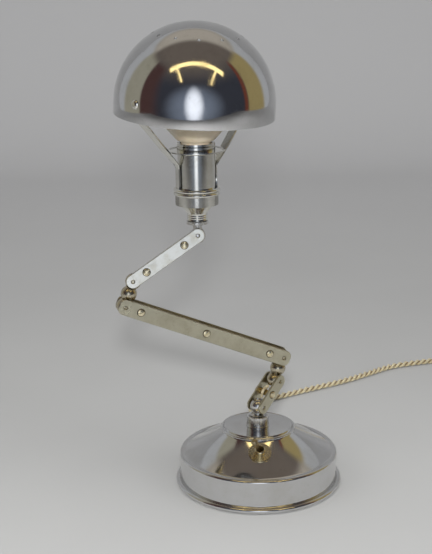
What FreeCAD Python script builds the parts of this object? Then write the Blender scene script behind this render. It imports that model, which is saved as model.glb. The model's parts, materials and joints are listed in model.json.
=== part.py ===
import FreeCAD, Part
import math
import os

# Desk lamp on a weighted round base. Three short and long arms, each a pair of flat plates that
# clamps a hollow ball at either end, are joined by links of three balls into a zigzag. The last
# ball carries a bayonet lampholder, and a fork on the lampholder carries a domed shade.
# Millimetres, +Z up, origin on the table under the middle of the base, -Y towards the switch.

V = FreeCAD.Vector
X_AXIS = V(1, 0, 0)
Z_AXIS = V(0, 0, 1)

# ------------------------------------------------------------------------------ fits
turn_gap = 0.05           # radial clearance where one part turns in another
seat_gap = 0.05           # between a ball and the spherical seats that clamp it
pass_gap = 0.3            # between faces that move past each other
hole_gap = 0.05           # radial clearance of fixed screws, sleeves and bushes in their holes

# ------------------------------------------------------------------------------ base
felt_thickness = 1.5
felt_margin = 4.0         # bare rim of the bottom plate round the felt
plate_thickness = 1.2
base_r = 63.6             # over the rolled foot
foot_bead_r = 2.2
foot_lift = 0.2           # the rolled foot clears the table, the felt stands on it
wall_inset = 3.8          # wall inside the rolled foot
shell_wall = 0.9
shoulder_z = 23.2
shoulder_bead_r = 2.0
shoulder_stand = 0.5      # shoulder bead past the wall
cone_inset = 3.8
cone_foot_rise = 1.8
cone_top_r = 27.6
cone_height = 17.0
ring_bead_r = 1.0
ring_bead_in = 0.3        # ring bead's line inside the cone's upper edge
ring_bead_rise = 1.5
rim_bead_r = 0.55
rim_inset = 2.2
top_rise = 2.8            # flat top disc above the upper edge of the cone
ballast_gap = 1.5         # cast ballast inside the wall
ballast_height = 15.0
ballast_bore_r = 12.0
ballast_draft = 2.0

collar_r = 8.36
collar_height = 8.25
collar_foot_r = 9.0
collar_foot_height = 0.8
collar_edge = 0.8
collar_stem_r = 6.0
collar_stem_length = 8.0
collar_nut_flats = 17.0
collar_nut_height = 3.0

# ------------------------------------------------------------------------------ switch
switch_drop = 10.2        # down the slope of the cone from its upper edge
switch_ring_r = 8.5
switch_ring_steps = 3
switch_ring_step_in = 1.35
switch_ring_step_height = 1.1
switch_bush_r = 4.0
switch_bush_stand = 5.4
switch_bush_depth = 3.0
switch_body_width = 20.0
switch_body_breadth = 12.0
switch_body_depth = 11.0
dolly_pivot = 1.2         # pivot above the cone's face
dolly_length = 16.4
dolly_neck_r = 1.25
dolly_tip_r = 2.5
dolly_tail = 3.6
dolly_tilt = 17.8         # either side of the middle

# ------------------------------------------------------------------------------ balls and arms
ball_r = 6.0
link_pitch = 9.6
nipple_r = 2.5
nipple_bore_r = 1.6
link_nut_r = 3.3
link_nut_height = 1.5
mouth_r = 3.6
shank_r = 4.0
shank_bore_r = 2.2

seat_depth = 0.5
arm_plate = 1.5
plate_chamfer = 0.3
peep_r = 1.1              # hole in the plate over each ball
peep_chamfer = 0.6
screw_inset = 12.1        # screw from the nearest ball
screw_r = 1.5
screw_head_r = 2.65
screw_head_height = 0.7
screw_head_dome = 0.35
screw_slot = 0.7
screw_slot_depth = 0.5
arm_nut_flats = 5.5
arm_nut_height = 2.2
spacer_r = 2.5
arm_wire_r = 1.1
wire_gap = 0.1
wire_bend = 9.3           # where the arm's wires part, from the ball
wire_start = 6.85

low_width = 9.8
low_length = 24.2
mid_width = 11.8
mid_length = 130.0
mid_reach = 5.1           # middle plates past the ball's centre
mid_corner = 4.6
high_width = 9.8
high_length = 58.0

# Rest pose: azimuth and rise in degrees, azimuth from +X towards +Y.
base_ball_rise = 7.05     # lowest ball's centre above the collar's top face
low_normal = (-48.4, 0.0)
low_rise = 43.8
low_link_lean = (28.9, 20.4)
mid_normal = (-76.5, 2.2)
mid_rise = 157.4
high_link_lean = (24.4, 23.6)
high_normal = (-87.6, 11.5)
high_rise = 34.1

# ------------------------------------------------------------------------------ lampholder
neck_r = 3.3
neck_height = 1.9
stud_cone_height = 1.2
stud_ring_r = 8.0
stud_ring_height = 2.2
holder_ring_r = 7.5
holder_ring_height = 1.45
holder_ring_groove = 0.5
holder_rings = 4
cap_cone_height = 6.1
cap_shoulder_r = 12.4
milled_r = 15.7
milled_depth = 0.6
milled_height = 7.1
milled_count = 48
cap_wall = 1.2
flange_r = 17.0
flange_height = 2.8
barrel_r = 13.6
barrel_wall = 1.0
barrel_height = 28.6      # above the flange
head_nut_flats = 13.0
head_nut_height = 2.5
core_height = 9.0
plunger_r = 1.8
plunger_spacing = 8.4
plunger_height = 5.0

skirt_wall = 1.0
skirt_height = 6.6        # above the barrel
skirt_overlap = 16.0
skirt_lip_r = 13.8
skirt_lip_height = 1.6
slot_width = 2.4
slot_length = 9.0
saucer_r = 21.2
saucer_thickness = 1.0
saucer_lip = 1.6
saucer_hub_r = 13.8
saucer_hub_height = 4.4

bulb_cap_r = 11.0
bulb_cap_height = 18.5
bulb_pin_r = 1.0
bulb_pin_stand = 1.0
bulb_neck_r = 10.6
bulb_waist_r = 13.9
bulb_waist_rise = 8.5     # waist above the barrel's mouth
bulb_globe_r = 25.0
bulb_globe_rise = 30.5    # globe's centre above the barrel's mouth
glass_wall = 0.8

fork_width = 7.0
fork_thickness = 1.2
fork_foot_turn = 68.0     # left of the front, where a strip leaves its ring
fork_foot_rise = 17.5     # first bend above the fork's ring
fork_bend_r = 26.8
fork_bend_turn = 55.0
fork_bend_rise = 32.0
fork_knee_r = 44.5
fork_knee_turn = 46.5
fork_knee_rise = 48.5
fork_eye_drop = 10.0

# ------------------------------------------------------------------------------ shade
shade_r = 58.0
shade_wall = 0.8
shade_skirt = 8.0
shade_rise = 96.4         # dome's centre above the head ball's centre
pivot_turn = 44.0         # shade's pivots, left of the front
pivot_rise = 4.6          # pivots above the dome's centre
shade_tilt = 4.9
vent_r = 1.25
vent_count = 12
vent_angle = 33.0         # from the top of the dome
vent_turn = 2.5           # nearest vent, right of the front
rivet_r = 1.6
rivet_head_r = 3.2
rivet_head_height = 1.2
rivet_washer = 0.9        # from a strip to the shade's inner face
rivet_shoulder_r = 2.4

# ------------------------------------------------------------------------------ cord
cord_r = 2.8
cord_exit_z = 12.0
sleeve_root_r = 5.6
sleeve_tip_r = 3.5
sleeve_length = 22.0
sleeve_flange_r = 7.0
sleeve_flange = 1.6
cord_rest_z = 2.9
coil_inner_r = 22.0
coil_turn_pitch = 6.9
coil_layer_pitch = 6.4
coil_turns = 3            # inwards in the lower layer, a quarter less outwards in the upper
coil_tail = 45.0
plug_r = 13.0
plug_length = 30.0
plug_neck_r = 5.0
pin_r = 2.0
pin_length = 18.0
pin_spacing = 13.0


# ------------------------------------------------------------------------------ helpers
def unit(azimuth, rise):
    """Unit vector at an azimuth from +X and a rise from the horizontal, in degrees."""
    level = math.cos(math.radians(rise))
    return V(
        level * math.cos(math.radians(azimuth)),
        level * math.sin(math.radians(azimuth)),
        math.sin(math.radians(rise)),
    )


def in_plane(normal, rise):
    """Unit vector square to a normal, at an angle from the level line in that plane."""
    level = Z_AXIS.cross(normal).normalize()
    upward = normal.cross(level)
    return level * math.cos(math.radians(rise)) + upward * math.sin(math.radians(rise))


def placed(shape, origin, x_dir, z_dir):
    """Copy of a shape moved from the origin's frame into another frame."""
    turned = FreeCAD.Rotation(x_dir, z_dir.cross(x_dir), z_dir, "ZXY")
    copy = shape.copy()
    copy.Placement = FreeCAD.Placement(origin, turned).multiply(shape.Placement)
    return copy


def along_y(shape, place):
    """Copy of a shape built on +Z, turned onto +Y and moved to a place."""
    copy = shape.copy()
    turned = FreeCAD.Rotation(X_AXIS, -90)
    copy.Placement = FreeCAD.Placement(place, turned).multiply(shape.Placement)
    return copy


def turned(outline):
    """Solid of revolution about Z from a closed outline of (radius, height) pairs."""
    points = [V(r, 0, z) for r, z in outline]
    face = Part.Face(Part.makePolygon(points + points[:1]))
    return face.revolve(V(), Z_AXIS, 360)


def cylinder(radius, low, high):
    return Part.makeCylinder(radius, high - low, V(0, 0, low))


def tube(outer, inner, low, high):
    return turned([(inner, low), (outer, low), (outer, high), (inner, high)])


def hexagon(flats, bore, low, high):
    """Hexagonal nut with a round bore."""
    corner = flats / math.sqrt(3)
    points = [V(corner, 0, low)]
    for side in range(1, 7):
        points.append(FreeCAD.Rotation(Z_AXIS, 60 * side).multVec(points[0]))
    prism = Part.Face(Part.makePolygon(points)).extrude(V(0, 0, high - low))
    return prism.cut(cylinder(bore, low - 1, high + 1))


def bead(radius, section, height):
    return Part.makeTorus(radius, section, V(0, 0, height))


def group(solids):
    return Part.makeCompound(solids)


def arc_through(start, corner, end):
    """Arc tangent to both legs of an equal-legged corner."""
    middle = (start + end) * 0.5
    half_turn = (corner - start).getAngle(end - corner) / 2
    share = math.tan(half_turn / 2) / math.tan(half_turn)
    return Part.Arc(start, middle + (corner - middle) * share, end).toShape()


def rounded_route(points, share=0.45):
    """Wire of straight runs joined by tangent arcs, with the radii of its arcs."""
    edges = []
    radii = []
    start = points[0]
    for before, corner, after in zip(points, points[1:], points[2:]):
        inward = (corner - before).normalize()
        outward = (after - corner).normalize()
        reach = share * min(before.distanceToPoint(corner), corner.distanceToPoint(after))
        radii.append(reach / math.tan(inward.getAngle(outward) / 2))
        arc_start = corner - inward * reach
        arc_end = corner + outward * reach
        edges.append(Part.LineSegment(start, arc_start).toShape())
        edges.append(arc_through(arc_start, corner, arc_end))
        start = arc_end
    edges.append(Part.LineSegment(start, points[-1]).toShape())
    return Part.Wire(edges), radii


def swept(path, radius):
    """Round bar along a wire, started square to its first edge."""
    first = path.OrderedEdges[0]
    start = first.valueAt(first.FirstParameter)
    direction = first.tangentAt(first.FirstParameter)
    section = Part.Wire(Part.makeCircle(radius, start, direction))
    return path.makePipeShell([section], True, False)


# ------------------------------------------------------------------------------ places
plate_z = felt_thickness
wall_r = base_r - wall_inset
plate_r = wall_r - shell_wall - hole_gap
cone_foot_r = wall_r - cone_inset
cone_foot_z = shoulder_z + cone_foot_rise
cone_top_z = cone_foot_z + cone_height
cone_slope = math.atan2(cone_height, cone_foot_r - cone_top_r)
top_z = cone_top_z + top_rise
collar_top_z = top_z + collar_height

base_ball = V(0, 0, collar_top_z + base_ball_rise)
low_side = unit(*low_normal)
low_along = in_plane(low_side, low_rise)
low_end = base_ball + low_along * low_length
low_link = unit(low_link_lean[0], 90 - low_link_lean[1])
mid_start = low_end + low_link * (2 * link_pitch)
mid_side = unit(*mid_normal)
mid_along = in_plane(mid_side, mid_rise)
mid_end = mid_start + mid_along * mid_length
high_link = unit(high_link_lean[0], 90 - high_link_lean[1])
high_start = mid_end + high_link * (2 * link_pitch)
high_side = unit(*high_normal)
high_along = in_plane(high_side, high_rise)
head_ball = high_start + high_along * high_length

switch_centre = V(
    0,
    -(cone_top_r + switch_drop * math.cos(cone_slope)),
    cone_top_z - switch_drop * math.sin(cone_slope),
)
switch_axis = V(0, -math.sin(cone_slope), math.cos(cone_slope))
pivot_axis = V(math.sin(math.radians(pivot_turn)), math.cos(math.radians(pivot_turn)), 0)


# ------------------------------------------------------------------------------ base
def shell_section():
    """Sheet outline of the spun shell, from the foot up to the hole for the collar."""
    upper_edge = cone_top_r - rim_inset
    spine = [
        V(wall_r, 0, foot_bead_r + foot_lift),
        V(wall_r, 0, shoulder_z),
        V(cone_foot_r, 0, cone_foot_z),
        V(cone_top_r, 0, cone_top_z),
        V(cone_top_r - ring_bead_in, 0, cone_top_z + ring_bead_rise),
        V(upper_edge, 0, top_z),
        V(collar_stem_r + hole_gap, 0, top_z),
    ]
    return Part.makePolygon(spine).makeOffset2D(shell_wall, 2, True, True, False)


def base_shell():
    shell = shell_section().revolve(V(), Z_AXIS, 360)
    foot = bead(base_r - foot_bead_r, foot_bead_r, foot_bead_r + foot_lift)
    shoulder = bead(wall_r + shoulder_stand - shoulder_bead_r, shoulder_bead_r, shoulder_z)
    ring = bead(cone_top_r - ring_bead_in, ring_bead_r, cone_top_z + ring_bead_rise)
    rim = bead(cone_top_r - rim_inset, rim_bead_r, top_z - rim_bead_r / 2)
    shell = shell.fuse([foot, shoulder, ring, rim])
    switch_hole = placed(
        cylinder(switch_bush_r + hole_gap, -10, 10), switch_centre, X_AXIS, switch_axis
    )
    cord_hole = along_y(
        cylinder(sleeve_root_r + hole_gap, -10, 10), V(0, wall_r, cord_exit_z)
    )
    return shell.cut([switch_hole, cord_hole])


def bottom_plate():
    return cylinder(plate_r, plate_z, plate_z + plate_thickness)


def felt_pad():
    return cylinder(plate_r - felt_margin, 0, plate_z)


def ballast():
    """Cast ring inside the shell, with draft, open round the cord's inlet."""
    low = plate_z + plate_thickness
    outer = wall_r - shell_wall - ballast_gap
    ring = turned([
        (ballast_bore_r, low),
        (outer, low),
        (outer - ballast_draft, low + ballast_height),
        (ballast_bore_r + ballast_draft, low + ballast_height),
    ])
    notch = Part.makeBox(
        2 * sleeve_flange_r + 2, outer, ballast_height + 1, V(-sleeve_flange_r - 1, ballast_bore_r + 6, low)
    )
    return ring.cut(notch)


def collar():
    """Turned collar with a threaded stem through the shell, bored for the ball stud."""
    bore = shank_r + turn_gap
    return turned([
        (bore, top_z - collar_stem_length),
        (collar_stem_r, top_z - collar_stem_length),
        (collar_stem_r, top_z),
        (collar_foot_r, top_z),
        (collar_foot_r, top_z + collar_foot_height),
        (collar_r, top_z + collar_foot_height + 0.3),
        (collar_r, collar_top_z - collar_edge),
        (collar_r - collar_edge, collar_top_z),
        (bore, collar_top_z),
    ])


def collar_nut():
    high = top_z - shell_wall
    return hexagon(collar_nut_flats, collar_stem_r, high - collar_nut_height, high)


def low_stud():
    """Ball with a flared neck on a hollow threaded shank that turns in the collar."""
    centre = base_ball.z
    neck_z = centre - math.sqrt(ball_r ** 2 - mouth_r ** 2)
    low = top_z - collar_stem_length - pass_gap - arm_nut_height - 1
    body = turned([
        (0, low),
        (shank_r, low),
        (shank_r, collar_top_z + pass_gap),
        (collar_r - 2 * collar_edge, collar_top_z + pass_gap),
        (mouth_r, neck_z),
        (0, centre),
    ])
    body = body.fuse(Part.makeSphere(ball_r, base_ball))
    mouth = cylinder(mouth_r, centre + 1, centre + ball_r)
    return body.cut([cylinder(shank_bore_r, low - 1, centre + 2), mouth])


def stud_nut():
    high = top_z - collar_stem_length - pass_gap
    return hexagon(head_nut_flats, shank_r, high - arm_nut_height, high)


# ------------------------------------------------------------------------------ switch
def switch_ring():
    """Stepped ring nut on the cone, turned in rings that shrink upwards."""
    outline = [(switch_bush_r, 0)]
    for step in range(switch_ring_steps):
        radius = switch_ring_r - step * switch_ring_step_in
        outline.append((radius, step * switch_ring_step_height))
        outline.append((radius, (step + 1) * switch_ring_step_height))
    outline.append((switch_bush_r, switch_ring_steps * switch_ring_step_height))
    return placed(turned(outline), switch_centre, X_AXIS, switch_axis)


def switch_bush():
    """Threaded bush with a cone-shaped mouth that gives the lever its swing."""
    swing = math.tan(math.radians(dolly_tilt))
    rise = switch_bush_stand - dolly_pivot
    mouth = dolly_neck_r / math.cos(math.radians(dolly_tilt)) + rise * swing + pass_gap
    low = -shell_wall - switch_bush_depth
    bush = turned([
        (0, low),
        (switch_bush_r, low),
        (switch_bush_r, switch_bush_stand - 0.6),
        (switch_bush_r - 0.6, switch_bush_stand),
        (min(mouth, switch_bush_r - 0.7), switch_bush_stand),
        (dolly_neck_r + 2 * pass_gap, dolly_pivot),
        (dolly_neck_r + 3 * pass_gap + dolly_tail * swing, dolly_pivot - dolly_tail - pass_gap),
        (0, dolly_pivot - dolly_tail - pass_gap),
    ])
    return placed(bush, switch_centre, X_AXIS, switch_axis)


def switch_body():
    high = -shell_wall - switch_bush_depth
    box = Part.makeBox(
        switch_body_width,
        switch_body_breadth,
        switch_body_depth,
        V(-switch_body_width / 2, -switch_body_breadth / 2, high - switch_body_depth),
    )
    return placed(box, switch_centre, X_AXIS, switch_axis)


def switch_dolly():
    """Pear-shaped lever, thin at its pivot and round at its tip."""
    shoulder = dolly_length - 2 * dolly_tip_r
    lever = turned([
        (0, -dolly_tail),
        (dolly_neck_r * 0.8, -dolly_tail),
        (dolly_neck_r, 0),
        (dolly_neck_r, switch_bush_stand),
        (dolly_tip_r * 0.9, shoulder + dolly_tip_r * 0.5),
        (0, dolly_length - dolly_tip_r),
    ]).fuse(Part.makeSphere(dolly_tip_r, V(0, 0, dolly_length - dolly_tip_r)))
    lever.rotate(V(), V(0, 1, 0), -dolly_tilt)
    lever.translate(V(0, 0, dolly_pivot))
    return placed(lever, switch_centre, X_AXIS, switch_axis)


# ------------------------------------------------------------------------------ arms
def bar_face(low, high, half_width, corner):
    """Flat bar outline in the XZ plane with rounded corners."""
    corner = min(corner, half_width)
    diagonal = corner * (1 - math.sqrt(0.5))
    ends = [(high, 1), (low, -1)]
    edges = []
    points = []
    for place, side in ends:
        inner = place - side * corner
        first = V(inner, 0, -side * half_width)
        first_mid = V(place - side * diagonal, 0, -side * (half_width - diagonal))
        first_end = V(place, 0, -side * (half_width - corner))
        second_end = V(place, 0, side * (half_width - corner))
        second_mid = V(place - side * diagonal, 0, side * (half_width - diagonal))
        second = V(inner, 0, side * half_width)
        points.append((first, second))
        edges.append(Part.Arc(first, first_mid, first_end).toShape())
        if first_end.distanceToPoint(second_end) > 0.01:
            edges.append(Part.LineSegment(first_end, second_end).toShape())
        edges.append(Part.Arc(second_end, second_mid, second).toShape())
    edges.append(Part.LineSegment(points[0][1], points[1][0]).toShape())
    edges.append(Part.LineSegment(points[1][1], points[0][0]).toShape())
    return Part.Face(Part.Wire(Part.sortEdges(edges)[0]))


def arm_plate_solid(length, half_width, reach, corner, screws):
    """One plate at +Y: bevelled outside edge, two seats, holes over the balls and for screws."""
    inner = ball_r - seat_depth
    outer = inner + arm_plate
    outline = bar_face(-reach, length + reach, half_width, corner)
    outline.translate(V(0, inner, 0))
    plate = outline.extrude(V(0, arm_plate, 0))
    top = max(plate.Faces, key=lambda face: face.CenterOfMass.y)
    plate = plate.makeChamfer(plate_chamfer, top.OuterWire.Edges)
    cuts = []
    for place in (0, length):
        cuts.append(Part.makeSphere(ball_r + seat_gap, V(place, 0, 0)))
        peep = turned([
            (0, inner - 1),
            (peep_r, inner - 1),
            (peep_r, outer - peep_chamfer),
            (peep_r + peep_chamfer, outer),
            (peep_r + peep_chamfer, outer + 1),
            (0, outer + 1),
        ])
        cuts.append(along_y(peep, V(place, 0, 0)))
    for place in screws:
        hole = cylinder(screw_r + hole_gap, inner - 1, outer + 1)
        cuts.append(along_y(hole, V(place, 0, 0)))
    return plate.cut(cuts)


def arm_screw():
    """Slotted screw on +Z with a slightly domed head."""
    outer = ball_r - seat_depth + arm_plate
    tip = -outer - arm_nut_height
    rim = outer + screw_head_height
    head_top = rim + screw_head_dome
    dome_r = (screw_head_r ** 2 + screw_head_dome ** 2) / (2 * screw_head_dome)
    head = cylinder(screw_head_r, outer, head_top)
    head = head.common(Part.makeSphere(dome_r, V(0, 0, head_top - dome_r)))
    slot = Part.makeBox(
        2 * screw_head_r + 1,
        screw_slot,
        screw_slot_depth,
        V(-screw_head_r - 0.5, -screw_slot / 2, head_top - screw_slot_depth),
    )
    return cylinder(screw_r, tip, outer).fuse(head.cut(slot))


def arm_wires(length):
    """Two wires in the arm, close together at the balls and apart past the spacers."""
    offset = spacer_r + wire_gap + arm_wire_r
    wires = []
    for side in (1, -1):
        points = [
            V(wire_start, 0, side * (arm_wire_r + wire_gap)),
            V(wire_bend, 0, side * offset),
            V(length - wire_bend, 0, side * offset),
            V(length - wire_start, 0, side * (arm_wire_r + wire_gap)),
        ]
        wires.append(swept(rounded_route(points)[0], arm_wire_r))
    return group(wires)


def arm(name, start, along, side, length, width, reach, corner, screws):
    """Every piece of one arm, by node name."""
    plate = arm_plate_solid(length, width / 2, reach, corner, screws)
    back = plate.copy()
    back.rotate(V(), X_AXIS, 180)
    inner = ball_r - seat_depth
    spacer = tube(spacer_r, screw_r + hole_gap, -inner, inner)
    nut = hexagon(arm_nut_flats, screw_r, -inner - arm_plate - arm_nut_height, -inner - arm_plate)
    screw = arm_screw()
    pieces = {
        "plate_front": plate,
        "plate_rear": back,
        "spacers": group([along_y(spacer, V(x, 0, 0)) for x in screws]),
        "screws": group([along_y(screw, V(x, 0, 0)) for x in screws]),
        "nuts": group([along_y(nut, V(x, 0, 0)) for x in screws]),
        "wires": arm_wires(length),
    }
    return {
        name + "_" + piece: placed(shape, start, along, along.cross(side))
        for piece, shape in pieces.items()
    }


# ------------------------------------------------------------------------------ links
def truncated_ball(centre, below, above):
    """Ball cut flat below and above its centre where it meets its neighbours."""
    ball = Part.makeSphere(ball_r, V(0, 0, centre))
    band = cylinder(ball_r + 1, centre - below, centre + above)
    return ball.common(band)


def link(name, start, along):
    """Three balls on a hollow nipple: two fixed, the last one free to turn."""
    joint = link_pitch / 2
    last = 2 * link_pitch
    lower = truncated_ball(0, ball_r, joint)
    lower = lower.cut([cylinder(nipple_r, -2, joint + 1), cylinder(mouth_r, -ball_r, -2)])
    middle = truncated_ball(link_pitch, joint, joint)
    middle = middle.cut(cylinder(nipple_r, 0, last))
    upper = truncated_ball(last, joint - 2 * turn_gap, ball_r)
    upper = upper.cut([
        cylinder(nipple_r + turn_gap, joint, last + 1),
        cylinder(mouth_r, last, last + ball_r),
    ])
    nut_low = last + pass_gap
    nipple = tube(nipple_r, nipple_bore_r, -2, nut_low + link_nut_height + 0.4)
    nut = tube(link_nut_r, nipple_r, nut_low, nut_low + link_nut_height)
    pieces = {
        "lower_ball": lower,
        "middle_ball": middle,
        "nipple": nipple,
        "ring_nut": nut,
        "upper_ball": upper,
    }
    return {
        name + "_" + piece: placed(shape, start, X_AXIS, along)
        for piece, shape in pieces.items()
    }


# ------------------------------------------------------------------------------ lampholder
ring_low = ball_r + neck_height + stud_cone_height      # heights above the head ball's centre
ring_high = ring_low + stud_ring_height
holder_low = ring_high + pass_gap
cone_low = holder_low + holder_rings * holder_ring_height
milled_low = cone_low + cap_cone_height
flange_low = milled_low + milled_height
fork_low = flange_low + flange_height
barrel_high = flange_low + barrel_height + flange_height
saucer_low = barrel_high


def around(radius, turn, height):
    """Point beside the head's axis, its turn measured left of the front."""
    return V(-radius * math.sin(math.radians(turn)), -radius * math.cos(math.radians(turn)), height)


def head_stud():
    """Ball with a stud that stands up into the lampholder and lets it swivel."""
    neck_z = math.sqrt(ball_r ** 2 - neck_r ** 2)
    high = milled_low + cap_wall + pass_gap + head_nut_height
    body = turned([
        (0, 0),
        (neck_r, neck_z),
        (neck_r, ball_r + neck_height),
        (stud_ring_r, ring_low),
        (stud_ring_r, ring_high),
        (shank_r, ring_high),
        (shank_r, high),
        (0, high),
    ])
    body = body.fuse(Part.makeSphere(ball_r))
    body = body.cut([cylinder(shank_bore_r, -2, high + 1), cylinder(mouth_r, -ball_r, -2)])
    return placed(body, head_ball, X_AXIS, Z_AXIS)


def head_nut():
    low = milled_low + cap_wall + pass_gap
    nut = hexagon(head_nut_flats, shank_r, low, low + head_nut_height)
    return placed(nut, head_ball, X_AXIS, Z_AXIS)


def holder_cap():
    """Ringed neck, cone and milled ring of the lampholder, open above."""
    bore = shank_r + turn_gap
    outline = [(bore, holder_low)]
    for ring in range(holder_rings):
        low = holder_low + ring * holder_ring_height
        outline.append((holder_ring_r - holder_ring_groove, low))
        outline.append((holder_ring_r, low + holder_ring_height * 0.35))
        outline.append((holder_ring_r, low + holder_ring_height * 0.8))
    outline += [
        (holder_ring_r, cone_low),
        (cap_shoulder_r, milled_low),
        (cap_shoulder_r, milled_low + cap_wall),
        (bore, milled_low + cap_wall),
    ]
    points = []
    for tooth in range(2 * milled_count):
        radius = milled_r - milled_depth * (tooth % 2)
        points.append(around(radius, 180 * tooth / milled_count, milled_low))
    ring = Part.Face(Part.makePolygon(points + points[:1])).extrude(V(0, 0, milled_height))
    ring = ring.cut(cylinder(cap_shoulder_r, milled_low + cap_wall, flange_low + 1))
    ring = ring.cut(cylinder(bore, milled_low - 1, flange_low))
    return turned(outline).fuse(ring)


def holder_barrel():
    """Barrel with a rolled flange that the cap's ring holds."""
    inner = barrel_r - barrel_wall
    sleeve = tube(barrel_r, inner, flange_low, barrel_high)
    roll = flange_height / 2
    rim = bead(flange_r - roll, roll, flange_low + roll)
    web = tube(flange_r - roll, inner, flange_low, flange_low + flange_height)
    return sleeve.fuse([rim, web])


def holder_core():
    """Insulating core across the barrel, with bores for the two plungers."""
    low = barrel_high - skirt_overlap - core_height
    core = cylinder(barrel_r - barrel_wall, low, low + core_height)
    bores = [
        Part.makeCylinder(plunger_r, core_height + 2, V(side * plunger_spacing / 2, 0, low - 1))
        for side in (1, -1)
    ]
    return core.cut(bores)


def contact_plungers():
    high = barrel_high - skirt_overlap + 1.5
    return group([
        Part.makeCylinder(
            plunger_r,
            plunger_height + 1.5,
            V(side * plunger_spacing / 2, 0, high - plunger_height - 1.5),
        )
        for side in (1, -1)
    ])


def holder_skirt():
    """Bayonet skirt inside the barrel, with a rolled mouth and two hooked slots."""
    outer = barrel_r - barrel_wall
    inner = outer - skirt_wall
    low = barrel_high - skirt_overlap
    high = barrel_high + skirt_height
    skirt = tube(outer, inner, low, high)
    lip = tube(skirt_lip_r, inner, high - skirt_lip_height, high)
    skirt = skirt.fuse(lip)
    run = Part.makeBox(
        2 * skirt_lip_r + 2,
        slot_width,
        slot_length,
        V(-skirt_lip_r - 1, -slot_width / 2, high - slot_length),
    )
    return skirt.cut(run)


def shade_ring():
    """Screwed ring on the skirt with a dished flange."""
    bore = barrel_r - barrel_wall
    high = saucer_low + saucer_hub_height
    flange = saucer_low + saucer_thickness
    return turned([
        (bore, saucer_low),
        (saucer_r - saucer_lip, saucer_low),
        (saucer_r, saucer_low + saucer_lip * 0.5),
        (saucer_r, saucer_low + saucer_lip),
        (saucer_r - saucer_thickness, saucer_low + saucer_lip),
        (saucer_r - saucer_lip - saucer_thickness * 0.5, flange),
        (saucer_hub_r, flange),
        (saucer_hub_r, high),
        (bore, high),
    ])


def fork_station(radius, turn, height, lean, facing):
    """Section of a strip at one station: its lean from upright and the way its face looks."""
    outward = around(1, facing, 0)
    across = Z_AXIS.cross(outward)
    angle = math.radians(lean)
    face = outward * math.cos(angle) - Z_AXIS * math.sin(angle)
    centre = around(radius, turn, height)
    half_w = across * (fork_width / 2)
    half_t = face * (fork_thickness / 2)
    corners = [
        centre + half_w + half_t,
        centre - half_w + half_t,
        centre - half_w - half_t,
        centre + half_w - half_t,
    ]
    return Part.makePolygon(corners + corners[:1])


def shade_fork():
    """Ring on the barrel with two bent strips up to the shade's pivots."""
    roll = flange_height / 2
    ring = tube(flange_r - roll, barrel_r, fork_low, fork_low + flange_height)
    ring = ring.fuse(bead(flange_r - roll, roll, fork_low + roll))
    pivot_z = shade_rise + pivot_rise
    foot_r = barrel_r + 0.1 + fork_thickness / 2
    eye_r = math.sqrt((shade_r - shade_wall) ** 2 - pivot_rise ** 2) - rivet_washer - fork_thickness / 2
    stations = [
        (foot_r, fork_foot_turn, fork_low + 0.5, 0, fork_foot_turn),
        (foot_r, fork_foot_turn, fork_low + fork_foot_rise, 0, fork_foot_turn),
        (foot_r + 1.2, fork_foot_turn - 1, fork_low + fork_foot_rise + 3.0, 42, fork_foot_turn - 8),
        (fork_bend_r, fork_bend_turn, fork_low + fork_bend_rise, 47, 46),
        (fork_knee_r, fork_knee_turn, fork_low + fork_knee_rise, 44, 46),
        (eye_r, pivot_turn, pivot_z - fork_eye_drop, 16, pivot_turn - 1),
        (eye_r, pivot_turn, pivot_z - fork_eye_drop + 3, 0, pivot_turn),
        (eye_r, pivot_turn, pivot_z, 0, pivot_turn),
    ]
    strip = Part.makeLoft([fork_station(*station) for station in stations], True, True)
    outward = around(1, pivot_turn, 0)
    eye_start = around(eye_r - fork_thickness / 2, pivot_turn, pivot_z)
    eye = Part.makeCylinder(fork_width / 2, fork_thickness, eye_start, outward)
    strip = strip.fuse(eye)
    hole_start = eye_start - outward * fork_thickness
    hole = Part.makeCylinder(rivet_r + turn_gap, 4 * fork_thickness, hole_start, outward)
    strip = strip.cut(hole)
    other = strip.copy()
    other.rotate(V(), Z_AXIS, 180)
    return ring.fuse([strip, other])


def bulb_cap():
    """Bayonet cap with its two pins."""
    low = barrel_high - skirt_overlap + 1.5
    cap = cylinder(bulb_cap_r, low, low + bulb_cap_height)
    pin_z = barrel_high + skirt_height - slot_length + slot_width
    pins = Part.makeCylinder(
        bulb_pin_r,
        2 * (bulb_cap_r + bulb_pin_stand),
        V(-bulb_cap_r - bulb_pin_stand, 0, pin_z),
        X_AXIS,
    )
    return cap.fuse(pins)


def bulb_glass():
    """Glass globe on a short waist, hollow and closed on its cap."""
    low = barrel_high - skirt_overlap + 1.5 + bulb_cap_height
    mouth = barrel_high + skirt_height + pass_gap
    waist = barrel_high + bulb_waist_rise
    centre = barrel_high + bulb_globe_rise
    join = math.sqrt(bulb_globe_r ** 2 - 20.4 ** 2)

    def globe(inset, floor):
        radius = bulb_globe_r - inset
        lower = [
            V(0, 0, floor),
            V(bulb_neck_r - inset, 0, floor),
            V(bulb_neck_r - inset, 0, mouth + inset * 0.4),
            V(bulb_waist_r - inset, 0, waist + inset * 0.4),
        ]
        meet_z = centre - join
        meet_r = math.sqrt(radius ** 2 - join ** 2)
        edges = [
            Part.LineSegment(lower[0], lower[1]).toShape(),
            Part.LineSegment(lower[1], lower[2]).toShape(),
            Part.LineSegment(lower[2], lower[3]).toShape(),
            Part.LineSegment(lower[3], V(meet_r, 0, meet_z)).toShape(),
            Part.Arc(V(meet_r, 0, meet_z), V(radius, 0, centre), V(0, 0, centre + radius)).toShape(),
            Part.LineSegment(V(0, 0, centre + radius), lower[0]).toShape(),
        ]
        return Part.Face(Part.Wire(edges)).revolve(V(), Z_AXIS, 360)

    return globe(0, low).cut(globe(glass_wall, low + glass_wall))


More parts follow.
